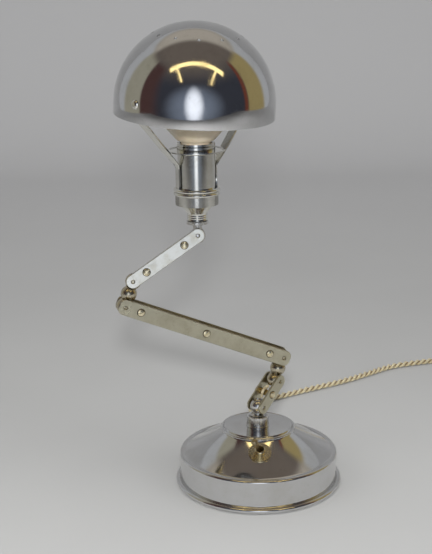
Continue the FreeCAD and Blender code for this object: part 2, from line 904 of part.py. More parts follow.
# ------------------------------------------------------------------------------ shade
def shade_dome(radius, skirt):
    """Half ball over a short straight skirt, filled, its ball's centre at the origin."""
    middle = radius * math.sqrt(0.5)
    edges = [
        Part.LineSegment(V(0, 0, -skirt), V(radius, 0, -skirt)).toShape(),
        Part.LineSegment(V(radius, 0, -skirt), V(radius, 0, 0)).toShape(),
        Part.Arc(V(radius, 0, 0), V(middle, 0, middle), V(0, 0, radius)).toShape(),
        Part.LineSegment(V(0, 0, radius), V(0, 0, -skirt)).toShape(),
    ]
    return Part.Face(Part.Wire(edges)).revolve(V(), Z_AXIS, 360)


def tilted(shape):
    """A piece of the shade in its frame, tilted about the pivots and lifted onto the head."""
    centre = V(0, 0, shade_rise)
    copy = placed(shape, centre, X_AXIS, Z_AXIS)
    copy.rotate(V(0, 0, shade_rise + pivot_rise), pivot_axis, shade_tilt)
    return placed(copy, head_ball, X_AXIS, Z_AXIS)


def shade():
    dome = shade_dome(shade_r, shade_skirt).cut(shade_dome(shade_r - shade_wall, shade_skirt + 1))
    cuts = []
    for vent in range(vent_count):
        outward = unit(vent_turn - 90 + 360 * vent / vent_count, 90 - vent_angle)
        cuts.append(Part.makeCylinder(vent_r, 4, outward * (shade_r - 2), outward))
    reach = shade_r + 2
    cuts.append(
        Part.makeCylinder(
            rivet_r + hole_gap, 2 * reach, pivot_axis * -reach + V(0, 0, pivot_rise), pivot_axis
        )
    )
    return tilted(dome.cut(cuts))


def shade_rivets():
    """Shouldered rivets through the strips and the shade, domed outside and flat inside."""
    inner_wall = math.sqrt((shade_r - shade_wall) ** 2 - pivot_rise ** 2)
    head_seat = math.sqrt(shade_r ** 2 - max(pivot_rise - rivet_head_r, 0) ** 2)
    strip_out = inner_wall - rivet_washer
    strip_in = strip_out - fork_thickness
    rivets = []
    for side in (1, -1):
        outline = turned([
            (0, strip_in - pass_gap - 0.8),
            (rivet_head_r - 0.6, strip_in - pass_gap - 0.8),
            (rivet_head_r - 0.6, strip_in - pass_gap),
            (rivet_r, strip_in - pass_gap),
            (rivet_r, strip_out + pass_gap),
            (rivet_shoulder_r, strip_out + pass_gap),
            (rivet_shoulder_r, inner_wall - pass_gap),
            (rivet_r, inner_wall - pass_gap),
            (rivet_r, head_seat),
            (rivet_head_r, head_seat),
            (rivet_head_r * 0.75, head_seat + rivet_head_height * 0.75),
            (rivet_head_r * 0.35, head_seat + rivet_head_height),
            (0, head_seat + rivet_head_height),
        ])
        rivets.append(tilted(placed(outline, V(0, 0, pivot_rise), Z_AXIS, pivot_axis * side)))
    return group(rivets)


# ------------------------------------------------------------------------------ cord
def cord_sleeve():
    """Flanged inlet through the wall with a tapered sleeve behind it."""
    low = wall_r - shell_wall - sleeve_flange
    sleeve = turned([
        (cord_r, low - 3),
        (sleeve_root_r, low - 3),
        (sleeve_root_r, wall_r + 0.1),
        (sleeve_flange_r, wall_r + 0.1),
        (sleeve_flange_r, wall_r + sleeve_flange),
        (sleeve_root_r - 0.6, wall_r + sleeve_flange),
        (sleeve_tip_r, wall_r + sleeve_length),
        (cord_r, wall_r + sleeve_length),
    ])
    return along_y(sleeve, V(0, 0, cord_exit_z))


# Route of the free stretch on the table, from the sleeve's tip to the coil.
cord_route = [
    V(0, wall_r + sleeve_length, cord_exit_z),
    V(0, 100, cord_exit_z - 1.4),
    V(-1.5, 121, 6.2),
    V(0.5, 142, cord_rest_z + 0.2),
    V(10.5, 157.5, cord_rest_z),
    V(28.0, 168.0, cord_rest_z),
    V(53.5, 183.9, cord_rest_z),
    V(88.3, 203.8, cord_rest_z),
    V(113.0, 222.5, cord_rest_z),
    V(138.0, 243.5, cord_rest_z),
    V(162.0, 252.0, cord_rest_z),
    V(187.0, 259.5, cord_rest_z),
    V(212.0, 262.0, cord_rest_z),
    V(236.0, 259.0, cord_rest_z),
]


def cord():
    path, radii = rounded_route(cord_route)
    print("cord radii", [round(radius, 1) for radius in radii])
    shape = swept(path, cord_r)
    share = shape.Volume / (math.pi * cord_r ** 2 * path.Length)
    print("cord length", round(path.Length, 1), "volume share", round(share, 5))
    return shape


def coil_stations():
    """Points and headings each quarter turn: inwards below, a climb, outwards above, a rise."""
    outer_r = coil_inner_r + coil_turn_pitch * coil_turns
    arrival = (cord_route[-1] - cord_route[-2]).normalize()
    lead = cord_route[-1] + arrival * (2 * cord_r)
    start_angle = math.atan2(arrival.y, arrival.x) + math.pi / 2
    centre = lead - V(math.cos(start_angle), math.sin(start_angle), 0) * outer_r
    top = cord_rest_z + coil_layer_pitch
    quarters = 4 * coil_turns
    total = 2 * quarters + 1

    def state(step):
        if step <= quarters:
            radius = outer_r - coil_turn_pitch * step / 4
            height = cord_rest_z
        elif step <= quarters + 2:
            radius = coil_inner_r
            height = cord_rest_z + coil_layer_pitch * (step - quarters) / 2
        else:
            after = step - quarters - 2
            radius = coil_inner_r + coil_turn_pitch * after / 4
            height = top + max(0, step - total + 2) / 2 * (plug_r - top)
        return radius, height

    stations = []
    for step in range(total + 1):
        radius, height = state(step)
        angle = start_angle - step * math.pi / 2
        point = centre + V(radius * math.cos(angle), radius * math.sin(angle), height)
        before = state(max(step - 1, 0))
        after = state(min(step + 1, total))
        span = min(step + 1, total) - max(step - 1, 0)
        slide = (after[0] - before[0]) / span
        climb = 0 if step in (0, quarters, quarters + 2, total, total - 2) else (after[1] - before[1]) / span
        if step in (0, total):
            slide = 0
        heading = V(math.sin(angle), -math.cos(angle), 0) * (radius * math.pi / 2)
        heading += V(math.cos(angle), math.sin(angle), 0) * slide + V(0, 0, climb)
        stations.append((V(point.x, point.y, height), heading.normalize()))
    return stations


def biarc(start, heading, end, final):
    """Two tangent arcs between two points with given headings."""
    chord = end - start
    both = heading + final
    a = 2 * (1 - heading.dot(final))
    b = 2 * chord.dot(both)
    leg = (-b + math.sqrt(b * b + 4 * a * chord.dot(chord))) / (2 * a)
    first = start + heading * leg
    second = end - final * leg
    join = (first + second) * 0.5
    return [arc_through(start, first, join), arc_through(join, second, end)]


def cord_coil():
    stations = coil_stations()
    first, heading = stations[0]
    last, final = stations[-1]
    edges = [Part.LineSegment(first - heading * (2 * cord_r), first).toShape()]
    for (start, ahead), (end, after) in zip(stations, stations[1:]):
        edges += biarc(start, ahead, end, after)
    edges.append(Part.LineSegment(last, last + final * coil_tail).toShape())
    path = Part.Wire(edges)
    print("coil length", round(path.Length, 1), "least gap", round(least_self_gap(edges), 2))
    shape = swept(path, cord_r)
    share = shape.Volume / (math.pi * cord_r ** 2 * path.Length)
    print("coil volume share", round(share, 5))
    return shape


def least_self_gap(edges):
    """Least distance between the coil's turns, on points along its middle line."""
    samples = []
    walked = 0
    for edge in edges:
        count = max(2, int(edge.Length / 1.5))
        for point in edge.discretize(count)[:-1]:
            samples.append((walked, point))
            walked += edge.Length / (count - 1)
    least = 1e9
    for index, (here, point) in enumerate(samples):
        for there, other in samples[index + 1:]:
            if there - here > 6 * cord_r:
                least = min(least, point.distanceToPoint(other))
    return least - 2 * cord_r


def plug_frame():
    last, final = coil_stations()[-1]
    return last + final * coil_tail, final


def plug_body():
    """Round plug on its side, narrow where the cord enters."""
    mouth, final = plug_frame()
    body = turned([
        (0, 0),
        (plug_neck_r, 0),
        (plug_neck_r, plug_length * 0.2),
        (plug_r, plug_length * 0.55),
        (plug_r, plug_length),
        (0, plug_length),
    ])
    return placed(body, mouth, Z_AXIS, final)


def plug_pins():
    mouth, final = plug_frame()
    pins = [
        placed(
            Part.makeCylinder(pin_r, pin_length, V(0, side * pin_spacing / 2, plug_length)),
            mouth,
            Z_AXIS,
            final,
        )
        for side in (1, -1)
    ]
    return group(pins)


# ------------------------------------------------------------------------------ lamp
def on_head(shape):
    return placed(shape, head_ball, X_AXIS, Z_AXIS)


def lamp():
    """Every piece of the lamp, by node name."""
    pieces = {
        "base_shell": base_shell(),
        "base_ballast": ballast(),
        "base_plate": bottom_plate(),
        "base_felt": felt_pad(),
        "collar": collar(),
        "collar_nut": collar_nut(),
        "switch_ring": switch_ring(),
        "switch_bush": switch_bush(),
        "switch_body": switch_body(),
        "switch_dolly": switch_dolly(),
        "cord_sleeve": cord_sleeve(),
        "low_stud": low_stud(),
        "low_stud_nut": stud_nut(),
        "head_stud": head_stud(),
        "head_stud_nut": head_nut(),
        "holder_cap": on_head(holder_cap()),
        "holder_barrel": on_head(holder_barrel()),
        "holder_core": on_head(holder_core()),
        "holder_plungers": on_head(contact_plungers()),
        "holder_skirt": on_head(holder_skirt()),
        "shade_ring": on_head(shade_ring()),
        "shade_fork": on_head(shade_fork()),
        "bulb_cap": on_head(bulb_cap()),
        "bulb_glass": on_head(bulb_glass()),
        "shade": shade(),
        "shade_rivets": shade_rivets(),
        "cord": cord(),
        "cord_coil": cord_coil(),
        "plug_body": plug_body(),
        "plug_pins": plug_pins(),
    }
    low_half = low_width / 2
    high_half = high_width / 2
    pieces.update(arm(
        "low_arm", base_ball, low_along, low_side, low_length,
        low_width, low_half, low_half, [low_length / 2],
    ))
    pieces.update(arm(
        "mid_arm", mid_start, mid_along, mid_side, mid_length,
        mid_width, mid_reach, mid_corner, [screw_inset, mid_length / 2, mid_length - screw_inset],
    ))
    pieces.update(arm(
        "high_arm", high_start, high_along, high_side, high_length,
        high_width, high_half, high_half, [screw_inset, high_length - screw_inset],
    ))
    pieces.update(link("low_link", low_end, low_link))
    pieces.update(link("high_link", mid_end, high_link))
    return pieces


def main():
    os.makedirs("parts", exist_ok=True)
    for name, shape in lamp().items():
        shape.exportStep(os.path.join("parts", name + ".step"))


main()
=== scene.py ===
import json
import math

import bmesh
import bpy
from mathutils import Matrix, Vector


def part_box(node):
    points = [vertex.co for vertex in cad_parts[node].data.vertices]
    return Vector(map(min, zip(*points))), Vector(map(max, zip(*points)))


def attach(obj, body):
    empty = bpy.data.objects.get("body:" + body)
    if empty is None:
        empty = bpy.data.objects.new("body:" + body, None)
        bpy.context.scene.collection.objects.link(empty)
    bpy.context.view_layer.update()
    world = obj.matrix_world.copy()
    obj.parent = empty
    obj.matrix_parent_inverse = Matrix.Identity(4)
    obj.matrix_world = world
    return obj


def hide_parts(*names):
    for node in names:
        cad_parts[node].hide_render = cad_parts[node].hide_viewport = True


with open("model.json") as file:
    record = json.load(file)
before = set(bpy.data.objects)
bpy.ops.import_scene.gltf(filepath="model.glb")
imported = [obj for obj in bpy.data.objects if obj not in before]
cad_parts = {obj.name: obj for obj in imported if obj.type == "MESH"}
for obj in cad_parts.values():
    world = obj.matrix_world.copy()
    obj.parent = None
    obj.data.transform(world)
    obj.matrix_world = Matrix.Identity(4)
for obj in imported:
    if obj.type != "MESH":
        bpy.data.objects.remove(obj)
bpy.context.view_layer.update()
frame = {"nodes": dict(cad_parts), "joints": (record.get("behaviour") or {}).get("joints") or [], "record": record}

bl_info = {
    "name": "Jointed desk lamp",
    "version": (1, 0, 0),
    "blender": (4, 5, 0),
    "location": "View3D > Sidebar > Lamp",
    "description": "Dresses a jointed desk lamp with a dome shade, ball links and a fabric flex",
    "category": "Object",
}

MM = 0.001
JOINTS = {joint["name"]: joint for joint in frame["joints"]}
BODY_OF = {
    node: body
    for body, nodes in frame["record"]["behaviour"]["bodies"].items()
    for node in nodes
}
SLOT_OF = {part["node"]: part["material_slot"] for part in frame["record"]["subparts"]}


def nodes_of(group, *pieces):
    """Nodes of an arm or a link."""
    return [group + "_" + piece for piece in pieces]


def joint_place(name):
    """Where a joint turns, in metres."""
    return Vector(JOINTS[name]["pos_m"])


def joint_axis(name):
    """Direction that a joint turns about."""
    return Vector(JOINTS[name]["axis"]).normalized()


# ---- settings
def length_setting(name, description, default):
    return bpy.props.FloatProperty(
        name=name, description=description, default=default, min=0.0, unit="LENGTH", subtype="DISTANCE"
    )


def angle_setting(name, description, degrees):
    return bpy.props.FloatProperty(
        name=name, description=description, default=math.radians(degrees), subtype="ANGLE"
    )


def colour_setting(name, description, default):
    return bpy.props.FloatVectorProperty(
        name=name, description=description, default=default, size=3, min=0.0, max=1.0, subtype="COLOR"
    )


class LampSizes(bpy.types.PropertyGroup):
    """Sizes of the pieces that are modelled here."""

    shade_radius: length_setting("Shade radius", "Outside radius of the dome", 0.058)
    shade_wall: length_setting("Shade wall", "Thickness of the spun sheet", 0.0008)
    shade_skirt: length_setting("Shade skirt", "Straight skirt under the dome", 0.008)
    shade_rise: length_setting("Shade rise", "Dome's centre above the head ball", 0.0964)
    vent_radius: length_setting("Vent radius", "Radius of each vent hole", 0.00125)
    vent_count: bpy.props.IntProperty(
        name="Vents", description="Vent holes round the dome", default=12, min=1
    )
    vent_angle: angle_setting("Vent angle", "Vents from the top of the dome", 33.0)
    vent_turn: angle_setting("Vent turn", "Nearest vent, right of the front", 2.5)
    shade_tilt: angle_setting("Shade tilt", "Rest tilt about the pivots", 4.9)
    foot_radius: length_setting("Foot radius", "Base over its rolled foot", 0.0636)
    flex_radius: length_setting("Flex radius", "Radius over both twisted cores", 0.0028)
    flex_lay: length_setting("Flex lay", "Length of one full twist of the flex", 0.013)
    flex_length: length_setting("Flex length", "Flex outside the base", 1.6)
    braid_lay: length_setting("Braid lay", "Length of one turn of the arm wires' braid", 0.006)


class LampColours(bpy.types.PropertyGroup):
    """Main colours of the finishes."""

    nickel: colour_setting("Nickel", "Plating on the base", (0.69, 0.69, 0.69))
    aged_nickel: colour_setting("Aged nickel", "Dull plating on the lower arms", (0.55, 0.52, 0.40))
    ball_nickel: colour_setting("Ball nickel", "Plating on the balls", (0.58, 0.53, 0.41))
    chrome: colour_setting("Chrome", "Mirror finish of the shade", (0.66, 0.66, 0.665))
    gold: colour_setting("Gold", "Screws, switch and wires", (0.82, 0.74, 0.52))
    flex_light: colour_setting("Flex light", "Light threads of the flex", (0.52, 0.47, 0.31))
    # The dark colour is the threads' own and is also used for painted shade in the weave's gaps and where the two
    # cores meet.
    flex_dark: colour_setting("Flex dark", "Dark threads of the flex", (0.20, 0.13, 0.06))
    bulb: colour_setting("Bulb", "Frosted glass", (0.62, 0.50, 0.37))
    floor: colour_setting("Floor", "Floor and backdrop", (0.38, 0.38, 0.375))


# ---- node maths
class Signal:
    """A number socket that takes part in Python arithmetic."""

    def __init__(self, finish, socket):
        self.finish = finish
        self.socket = socket

    def _math(self, operation, first, second):
        settings = {"operation": operation}
        return Signal(self.finish, self.finish.first("ShaderNodeMath", settings, {0: first, 1: second}))

    def __add__(self, other):
        return self._math("ADD", self, other)

    __radd__ = __add__

    def __mul__(self, other):
        return self._math("MULTIPLY", self, other)

    __rmul__ = __mul__

    def __sub__(self, other):
        return self._math("SUBTRACT", self, other)

    def __rsub__(self, other):
        return self._math("SUBTRACT", other, self)

    def __pow__(self, other):
        return self._math("POWER", self, other)

    def largest(self, other):
        return self._math("MAXIMUM", self, other)

    def sine(self):
        return self._math("SINE", self, 0.0)

    def arcsine(self):
        return self._math("ARCSINE", self, 0.0)

    def bearing(self, ahead):
        """Angle in radians from straight ahead to this sideways share."""
        return self._math("ARCTAN2", self, ahead)

    def size(self):
        return self._math("ABSOLUTE", self, 0.0)

    def between(self, low, high):
        """0 below low, 1 above high and a smooth ramp between."""
        inputs = {"Value": self, "From Min": low, "From Max": high}
        ramp = self.finish.first("ShaderNodeMapRange", {"interpolation_type": "SMOOTHSTEP"}, inputs)
        return Signal(self.finish, ramp)

    def until(self, low, high):
        """1 below low, 0 above high and a smooth ramp between."""
        return 1.0 - self.between(low, high)


# Turn and stretch of the noise fields whose thin level lines draw the scratches.
SCRATCH_FIELDS = (
    ((0.3, 0.2, 0.5), (1, 22, 22)),
    ((1.2, 0.4, -0.6), (26, 1, 26)),
    ((0.1, 1.0, 1.9), (24, 24, 1)),
)


class Nodes:
    """A node tree, self.tree, that is filled one node to a call."""

    def node(self, kind, settings=None, inputs=None):
        """A new node with its settings and the values or links of its sockets."""
        node = self.tree.nodes.new(kind)
        for name, value in (settings or {}).items():
            setattr(node, name, value)
        for name, value in (inputs or {}).items():
            self.feed(node.inputs[name], value)
        return node

    def first(self, kind, settings=None, inputs=None):
        """A new node's first output."""
        return self.node(kind, settings, inputs).outputs[0]

    def feed(self, socket, value):
        """Link a signal or an output to a socket, or set its value."""
        if isinstance(value, Signal):
            value = value.socket
        if isinstance(value, bpy.types.NodeSocket):
            self.tree.links.new(value, socket)
        elif socket.type == "RGBA" and len(value) == 3:
            socket.default_value = (*value, 1.0)
        else:
            socket.default_value = value


class Finish(Nodes):
    """A material and the nodes that make it."""

    def __init__(self, name, **constants):
        self.material = bpy.data.materials.new(name)
        self.material.use_nodes = True
        self.tree = self.material.node_tree
        self.tree.nodes.clear()
        self.shader = self.node("ShaderNodeBsdfPrincipled")
        self.node("ShaderNodeOutputMaterial", {}, {"Surface": self.shader.outputs[0]})
        self.set(**constants)

    def set(self, **inputs):
        """Feed the main shader's sockets, named with underscores for spaces."""
        for name, value in inputs.items():
            self.feed(self.shader.inputs[name.replace("_", " ")], value)

    def place(self, stretch=(1, 1, 1), turn=(0, 0, 0), source="Object"):
        coordinates = self.node("ShaderNodeTexCoord").outputs[source]
        inputs = {"Vector": coordinates, "Rotation": turn, "Scale": stretch}
        return self.first("ShaderNodeMapping", {}, inputs)

    def noise(self, scale, detail=4.0, rough=0.55, **place):
        inputs = {"Vector": self.place(**place), "Scale": scale, "Detail": detail, "Roughness": rough}
        return Signal(self, self.first("ShaderNodeTexNoise", {}, inputs))

    def mix(self, first, second, factor):
        return self.node("ShaderNodeMix", {"data_type": "RGBA"}, {0: factor, 6: first, 7: second}).outputs[2]

    def bump(self, height, strength, distance):
        inputs = {"Height": height, "Strength": strength, "Distance": distance}
        self.set(Normal=self.first("ShaderNodeBump", {}, inputs))

    def scratches(self):
        """Thin lines in three directions."""
        lines = None
        for turn, stretch in SCRATCH_FIELDS:
            field = self.noise(34.0, 2.0, 0.5, stretch=stretch, turn=turn)
            line = (field - 0.5).size().until(0.0, 0.012)
            lines = line if lines is None else lines.largest(line)
        return lines * self.noise(70.0, 2.0).between(0.5, 0.7)


def plated(name, bright, stain, rough, wear, blotch, pits=0.25):
    """Plating with cloudy tarnish, small spots, hair scratches and shallow pits."""
    finish = Finish(name, Metallic=1.0)
    cloud = finish.noise(blotch, 6.0, 0.62)
    spots = finish.noise(blotch * 9, 3.0, 0.5).between(0.60, 0.74)
    scratches = finish.scratches()
    tarnish = cloud.between(0.42, 0.78) * wear + spots * (0.55 * wear)
    finish.set(
        Base_Color=finish.mix(bright, stain, tarnish),
        Roughness=cloud * (0.16 * wear) + scratches * (0.22 * wear) + spots * (0.20 * wear) + rough,
    )
    dimples = finish.noise(blotch * 5, 3.0, 0.5)
    finish.bump(dimples * pits - scratches * 0.25 - spots * 0.3, 0.12 * wear + 0.02, 0.0003)
    return finish.material


def braided(name, light, dark, threads, step):
    """Two-way woven sleeve on a piece whose UV runs round (0 to 1) and along, in metres."""
    finish = Finish(name, Specular_IOR_Level=0.25, Sheen_Weight=0.25, Sheen_Roughness=0.4)
    uv = finish.node("ShaderNodeSeparateXYZ", {}, {0: finish.place(source="UV")})
    round_it = Signal(finish, uv.outputs[0]) * (2 * math.pi * threads)
    along = Signal(finish, uv.outputs[1]) * (2 * math.pi / step)
    left = (round_it + along).sine()
    right = (round_it - along).sine()
    weave = left.largest(right) * 0.5 + 0.5
    # Painted shade: near 1 on the side of each core that faces the other core, where the two press together.
    painted_core_shade = (Signal(finish, uv.outputs[0]) * (2 * math.pi) + math.pi / 2).sine()
    # This shade is a random tone of the fibres, the same under any lamp.
    shade = finish.noise(900.0, 3.0).between(0.35, 0.7)
    dirt = finish.noise(60.0, 4.0).between(0.35, 0.8)
    tracer = (left * right).between(0.45, 0.8)
    # (1 - weave) darkens the gaps between the threads, painted shade; dirt and tracer are the threads' own colour.
    mix = (1.0 - weave) * 0.45 + shade * 0.12 + dirt * 0.18 + tracer * 0.10
    mix = mix + painted_core_shade.until(-0.75, 0.15) * 0.75
    finish.set(Base_Color=finish.mix(light, dark, mix), Roughness=0.62 + shade * 0.25)
    finish.bump(weave + shade * 0.3, 0.7, 0.0003)
    return finish.material


def clouded(name, light, dark, cloud, spread, rough, grain, relief, constants):
    """Even material with soft clouds of a second colour and a fine relief."""
    finish = Finish(name, **constants)
    field = finish.noise(*cloud)
    finish.set(
        Base_Color=finish.mix(light, dark, field.between(*spread)),
        Roughness=rough[0] + field * rough[1],
    )
    finish.bump(finish.noise(*grain), *relief)
    return finish.material


def felted(name, light, dark):
    """Worn felt with a fluffy surface."""
    finish = Finish(name, Sheen_Weight=0.6, Sheen_Roughness=0.5)
    fluff = finish.noise(1600.0, 6.0, 0.75)
    wear = finish.noise(60.0, 3.0)
    finish.set(
        Base_Color=finish.mix(light, dark, fluff * 0.7 + wear * 0.3),
        Roughness=0.85 + fluff * 0.1,
    )
    finish.bump(fluff, 0.8, 0.0004)
    return finish.material


# How each finish is made. A colour given by name is a setting.
# plated: bright colour, stain, roughness, wear, tarnish clouds per metre, depth of the pits.
# clouded: light and dark colour, noise of the clouds, its spread, roughness and what a cloud adds to it,
# noise of the grain, strength and depth of its relief, constants of the shader.
# braided: light and dark colour, threads round, length of one weave. felted: light and dark colour.
RECIPES = {
    "base_nickel": (plated, "nickel", (0.46, 0.43, 0.36), 0.07, 0.30, 45.0, 0.2),
    "turned_nickel": (plated, "nickel", (0.40, 0.34, 0.22), 0.16, 0.9, 160.0),
    "aged_nickel": (plated, "aged_nickel", (0.36, 0.31, 0.20), 0.24, 0.6, 70.0, 0.4),
    # The arms' nickel again, painted lighter for the high arm: a lit copy of the plating, painted light.
    "bright_nickel": (plated, (0.68, 0.67, 0.61), (0.52, 0.48, 0.36), 0.24, 0.6, 110.0, 0.4),
    "ball_nickel": (plated, "ball_nickel", (0.30, 0.24, 0.14), 0.17, 0.8, 210.0),
    "holder_nickel": (plated, (0.76, 0.75, 0.70), (0.48, 0.44, 0.34), 0.10, 0.45, 120.0),
    "mirror_chrome": (plated, "chrome", (0.44, 0.43, 0.40), 0.045, 0.34, 60.0, 0.1),
    "pale_gold": (plated, "gold", (0.40, 0.29, 0.13), 0.20, 0.8, 300.0),
    "bronze_lever": (plated, (0.46, 0.38, 0.24), (0.20, 0.14, 0.07), 0.22, 0.9, 260.0),
    "raw_brass": (plated, (0.62, 0.47, 0.22), (0.28, 0.19, 0.09), 0.32, 1.0, 240.0),
    # Painted shade: the dark ring of the recess round each screw head.
    "painted_recess_shade": (plated, (0.10, 0.085, 0.06), (0.04, 0.03, 0.02), 0.5, 1.0, 400.0),
    "cap_metal": (plated, (0.72, 0.70, 0.64), (0.42, 0.38, 0.30), 0.30, 0.8, 200.0),
    "wire_braid": (
        clouded, "gold", (0.28, 0.18, 0.07), (500.0, 4.0), (0.4, 0.75), (0.36, 0.2),
        (2500.0, 2.0), (0.3, 0.0002), {"Metallic": 0.65},
    ),
    "frosted_glass": (
        clouded, "bulb", (0.50, 0.38, 0.25), (70.0, 3.0), (0.4, 0.8), (0.38, 0.14),
        (3000.0, 2.0), (0.10, 0.0002),
        {"Subsurface_Weight": 0.15, "Coat_Weight": 0.25, "Coat_Roughness": 0.2},
    ),
    "dark_moulding": (
        clouded, (0.035, 0.022, 0.016), (0.085, 0.045, 0.028), (120.0, 6.0, 0.65), (0.4, 0.7), (0.28, 0.18),
        (900.0, 3.0), (0.08, 0.0002), {"Coat_Weight": 0.3, "Coat_Roughness": 0.15},
    ),
    "black_rubber": (
        clouded, (0.025, 0.023, 0.021), (0.075, 0.068, 0.058), (240.0, 5.0, 0.6), (0.45, 0.8), (0.55, 0.2),
        (1800.0, 3.0), (0.25, 0.0002), {"Specular_IOR_Level": 0.35},
    ),
    "iron_casting": (
        clouded, (0.06, 0.055, 0.05), (0.14, 0.10, 0.07), (700.0, 6.0, 0.7), (0.4, 0.75), (0.65, 0.2),
        (700.0, 6.0, 0.7), (0.6, 0.0006), {"Metallic": 0.5},
    ),
    "flex_braid": (braided, "flex_light", "flex_dark", 7, 0.0021),
    "green_felt": (felted, (0.03, 0.075, 0.04), (0.07, 0.12, 0.07)),
}


class Finishes:
    """The lamp's materials, each made once."""

    made = {}

    @classmethod
    def get(cls, name):
        if name not in cls.made:
            colours = bpy.context.scene.lamp_colours
            make, *values = RECIPES[name]
            values = [getattr(colours, value) if isinstance(value, str) else value for value in values]
            cls.made[name] = make(name, *values)
        return cls.made[name]


FINISH_OF_SLOT = {
    "nickel_shell": "base_nickel",
    "cast_iron": "iron_casting",
    "zinc_sheet": "turned_nickel",
    "felt": "green_felt",
    "nickel_turned": "turned_nickel",
    "brass_raw": "raw_brass",
    "switch_gold": "pale_gold",
    "phenolic": "dark_moulding",
    "nickel_plate_dull": "aged_nickel",
    "nickel_plate_bright": "bright_nickel",
    "screw_gold": "pale_gold",
    "braid_gold": "wire_braid",
    "ball_nickel": "ball_nickel",
    "holder_metal": "holder_nickel",
    "fork_metal": "holder_nickel",
    "bulb_cap_metal": "cap_metal",
    "frosted_glass": "frosted_glass",
    "shade_chrome": "mirror_chrome",
    "cord_fabric": "flex_braid",
    "plug_plastic": "dark_moulding",
    "sleeve_rubber": "black_rubber",
}


# ---- mesh helpers
CREASE = 32.0  # degrees past which an edge stays sharp
SAME_PLACE = 2e-6  # metres within which two corners of a facet are one
SAME_PLANE = math.radians(0.4)


def mesh_from(name, shape):
    """A new mesh from a bmesh, which is freed."""
    mesh = bpy.data.meshes.new(name)
    shape.to_mesh(mesh)
    shape.free()
    return mesh


def linked(name, mesh):
    """A new object of the scene for a mesh or curve."""
    piece = bpy.data.objects.new(name, mesh)
    bpy.context.scene.collection.objects.link(piece)
    return piece


def finished(piece, finish):
    """Gives a piece its only material."""
    piece.data.materials.clear()
    piece.data.materials.append(Finishes.get(finish))


def soften(mesh, angle=CREASE):
    """Smooth shading with creases kept sharp."""
    mesh.shade_smooth()
    mesh.set_sharp_from_angle(angle=math.radians(angle))


def stand_for(piece, node, finish=None):
    """A piece takes the place, body and slot of a node."""
    finished(piece, finish or FINISH_OF_SLOT[SLOT_OF[node]])
    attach(piece, BODY_OF[node])
    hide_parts(node)


def evaluated_mesh(piece):
    """The piece's shape with its modifiers, as a plain mesh."""
    graph = bpy.context.evaluated_depsgraph_get()
    return bpy.data.meshes.new_from_object(piece.evaluated_get(graph), depsgraph=graph)


def flattened(piece):
    """The piece's mesh with normals weighed by area, so flat faces stay flat."""
    weigh = piece.modifiers.new("weigh", "WEIGHTED_NORMAL")
    weigh.keep_sharp = True
    weigh.weight = 100
    mesh = evaluated_mesh(piece)
    piece.modifiers.remove(weigh)
    piece.data = mesh


def smooth_skin(node, finish=None, angle=CREASE):
    """Copy of a node's surface with its facets joined and smoothed."""
    mesh = frame["nodes"][node].data.copy()
    shape = bmesh.new()
    shape.from_mesh(mesh)
    bmesh.ops.remove_doubles(shape, verts=shape.verts, dist=SAME_PLACE)
    bmesh.ops.dissolve_limit(shape, angle_limit=SAME_PLANE, verts=shape.verts, edges=shape.edges)
    shape.to_mesh(mesh)
    shape.free()
    mesh.name = node + "_skin"
    soften(mesh, angle)
    piece = linked(node + "_skin", mesh)
    flattened(piece)
    stand_for(piece, node, finish)
    return piece


def smooth_skins(*nodes, **settings):
    """Smoothed copies of several nodes."""
    for node in nodes:
        smooth_skin(node, **settings)


class SmoothedGroup:
    """Execution shared by the operators whose pieces are all smoothed copies."""

    nodes = ()

    def execute(self, context):
        smooth_skins(*self.nodes)
        return {"FINISHED"}


def lathe(name, outline, steps, place=Matrix.Identity(4)):
    """Solid of revolution about Z from a closed outline of (radius, height), in metres."""
    shape = bmesh.new()
    rings = []
    for step in range(steps):
        turn = 2 * math.pi * step / steps
        rings.append([shape.verts.new((r * math.cos(turn), r * math.sin(turn), z)) for r, z in outline])
    for here, there in zip(rings, rings[1:] + rings[:1]):
        for index in range(len(outline)):
            after = (index + 1) % len(outline)
            shape.faces.new((here[index], here[after], there[after], there[index]))
    bmesh.ops.remove_doubles(shape, verts=shape.verts, dist=1e-7)
    bmesh.ops.dissolve_degenerate(shape, edges=shape.edges, dist=1e-8)
    bmesh.ops.recalc_face_normals(shape, faces=shape.faces)
    shape.transform(place)
    return mesh_from(name, shape)


def in_metres(outline):
    """An outline in millimetres, in metres."""
    return [(r * MM, z * MM) for r, z in outline]


def arc(centre, radius, start, end, steps):
    """Points of an arc in a lathe's outline, from one angle to another in degrees."""
    points = []
    for step in range(steps + 1):
        angle = math.radians(start + (end - start) * step / steps)
        points.append((centre[0] + radius * math.cos(angle), centre[1] + radius * math.sin(angle)))
    return points


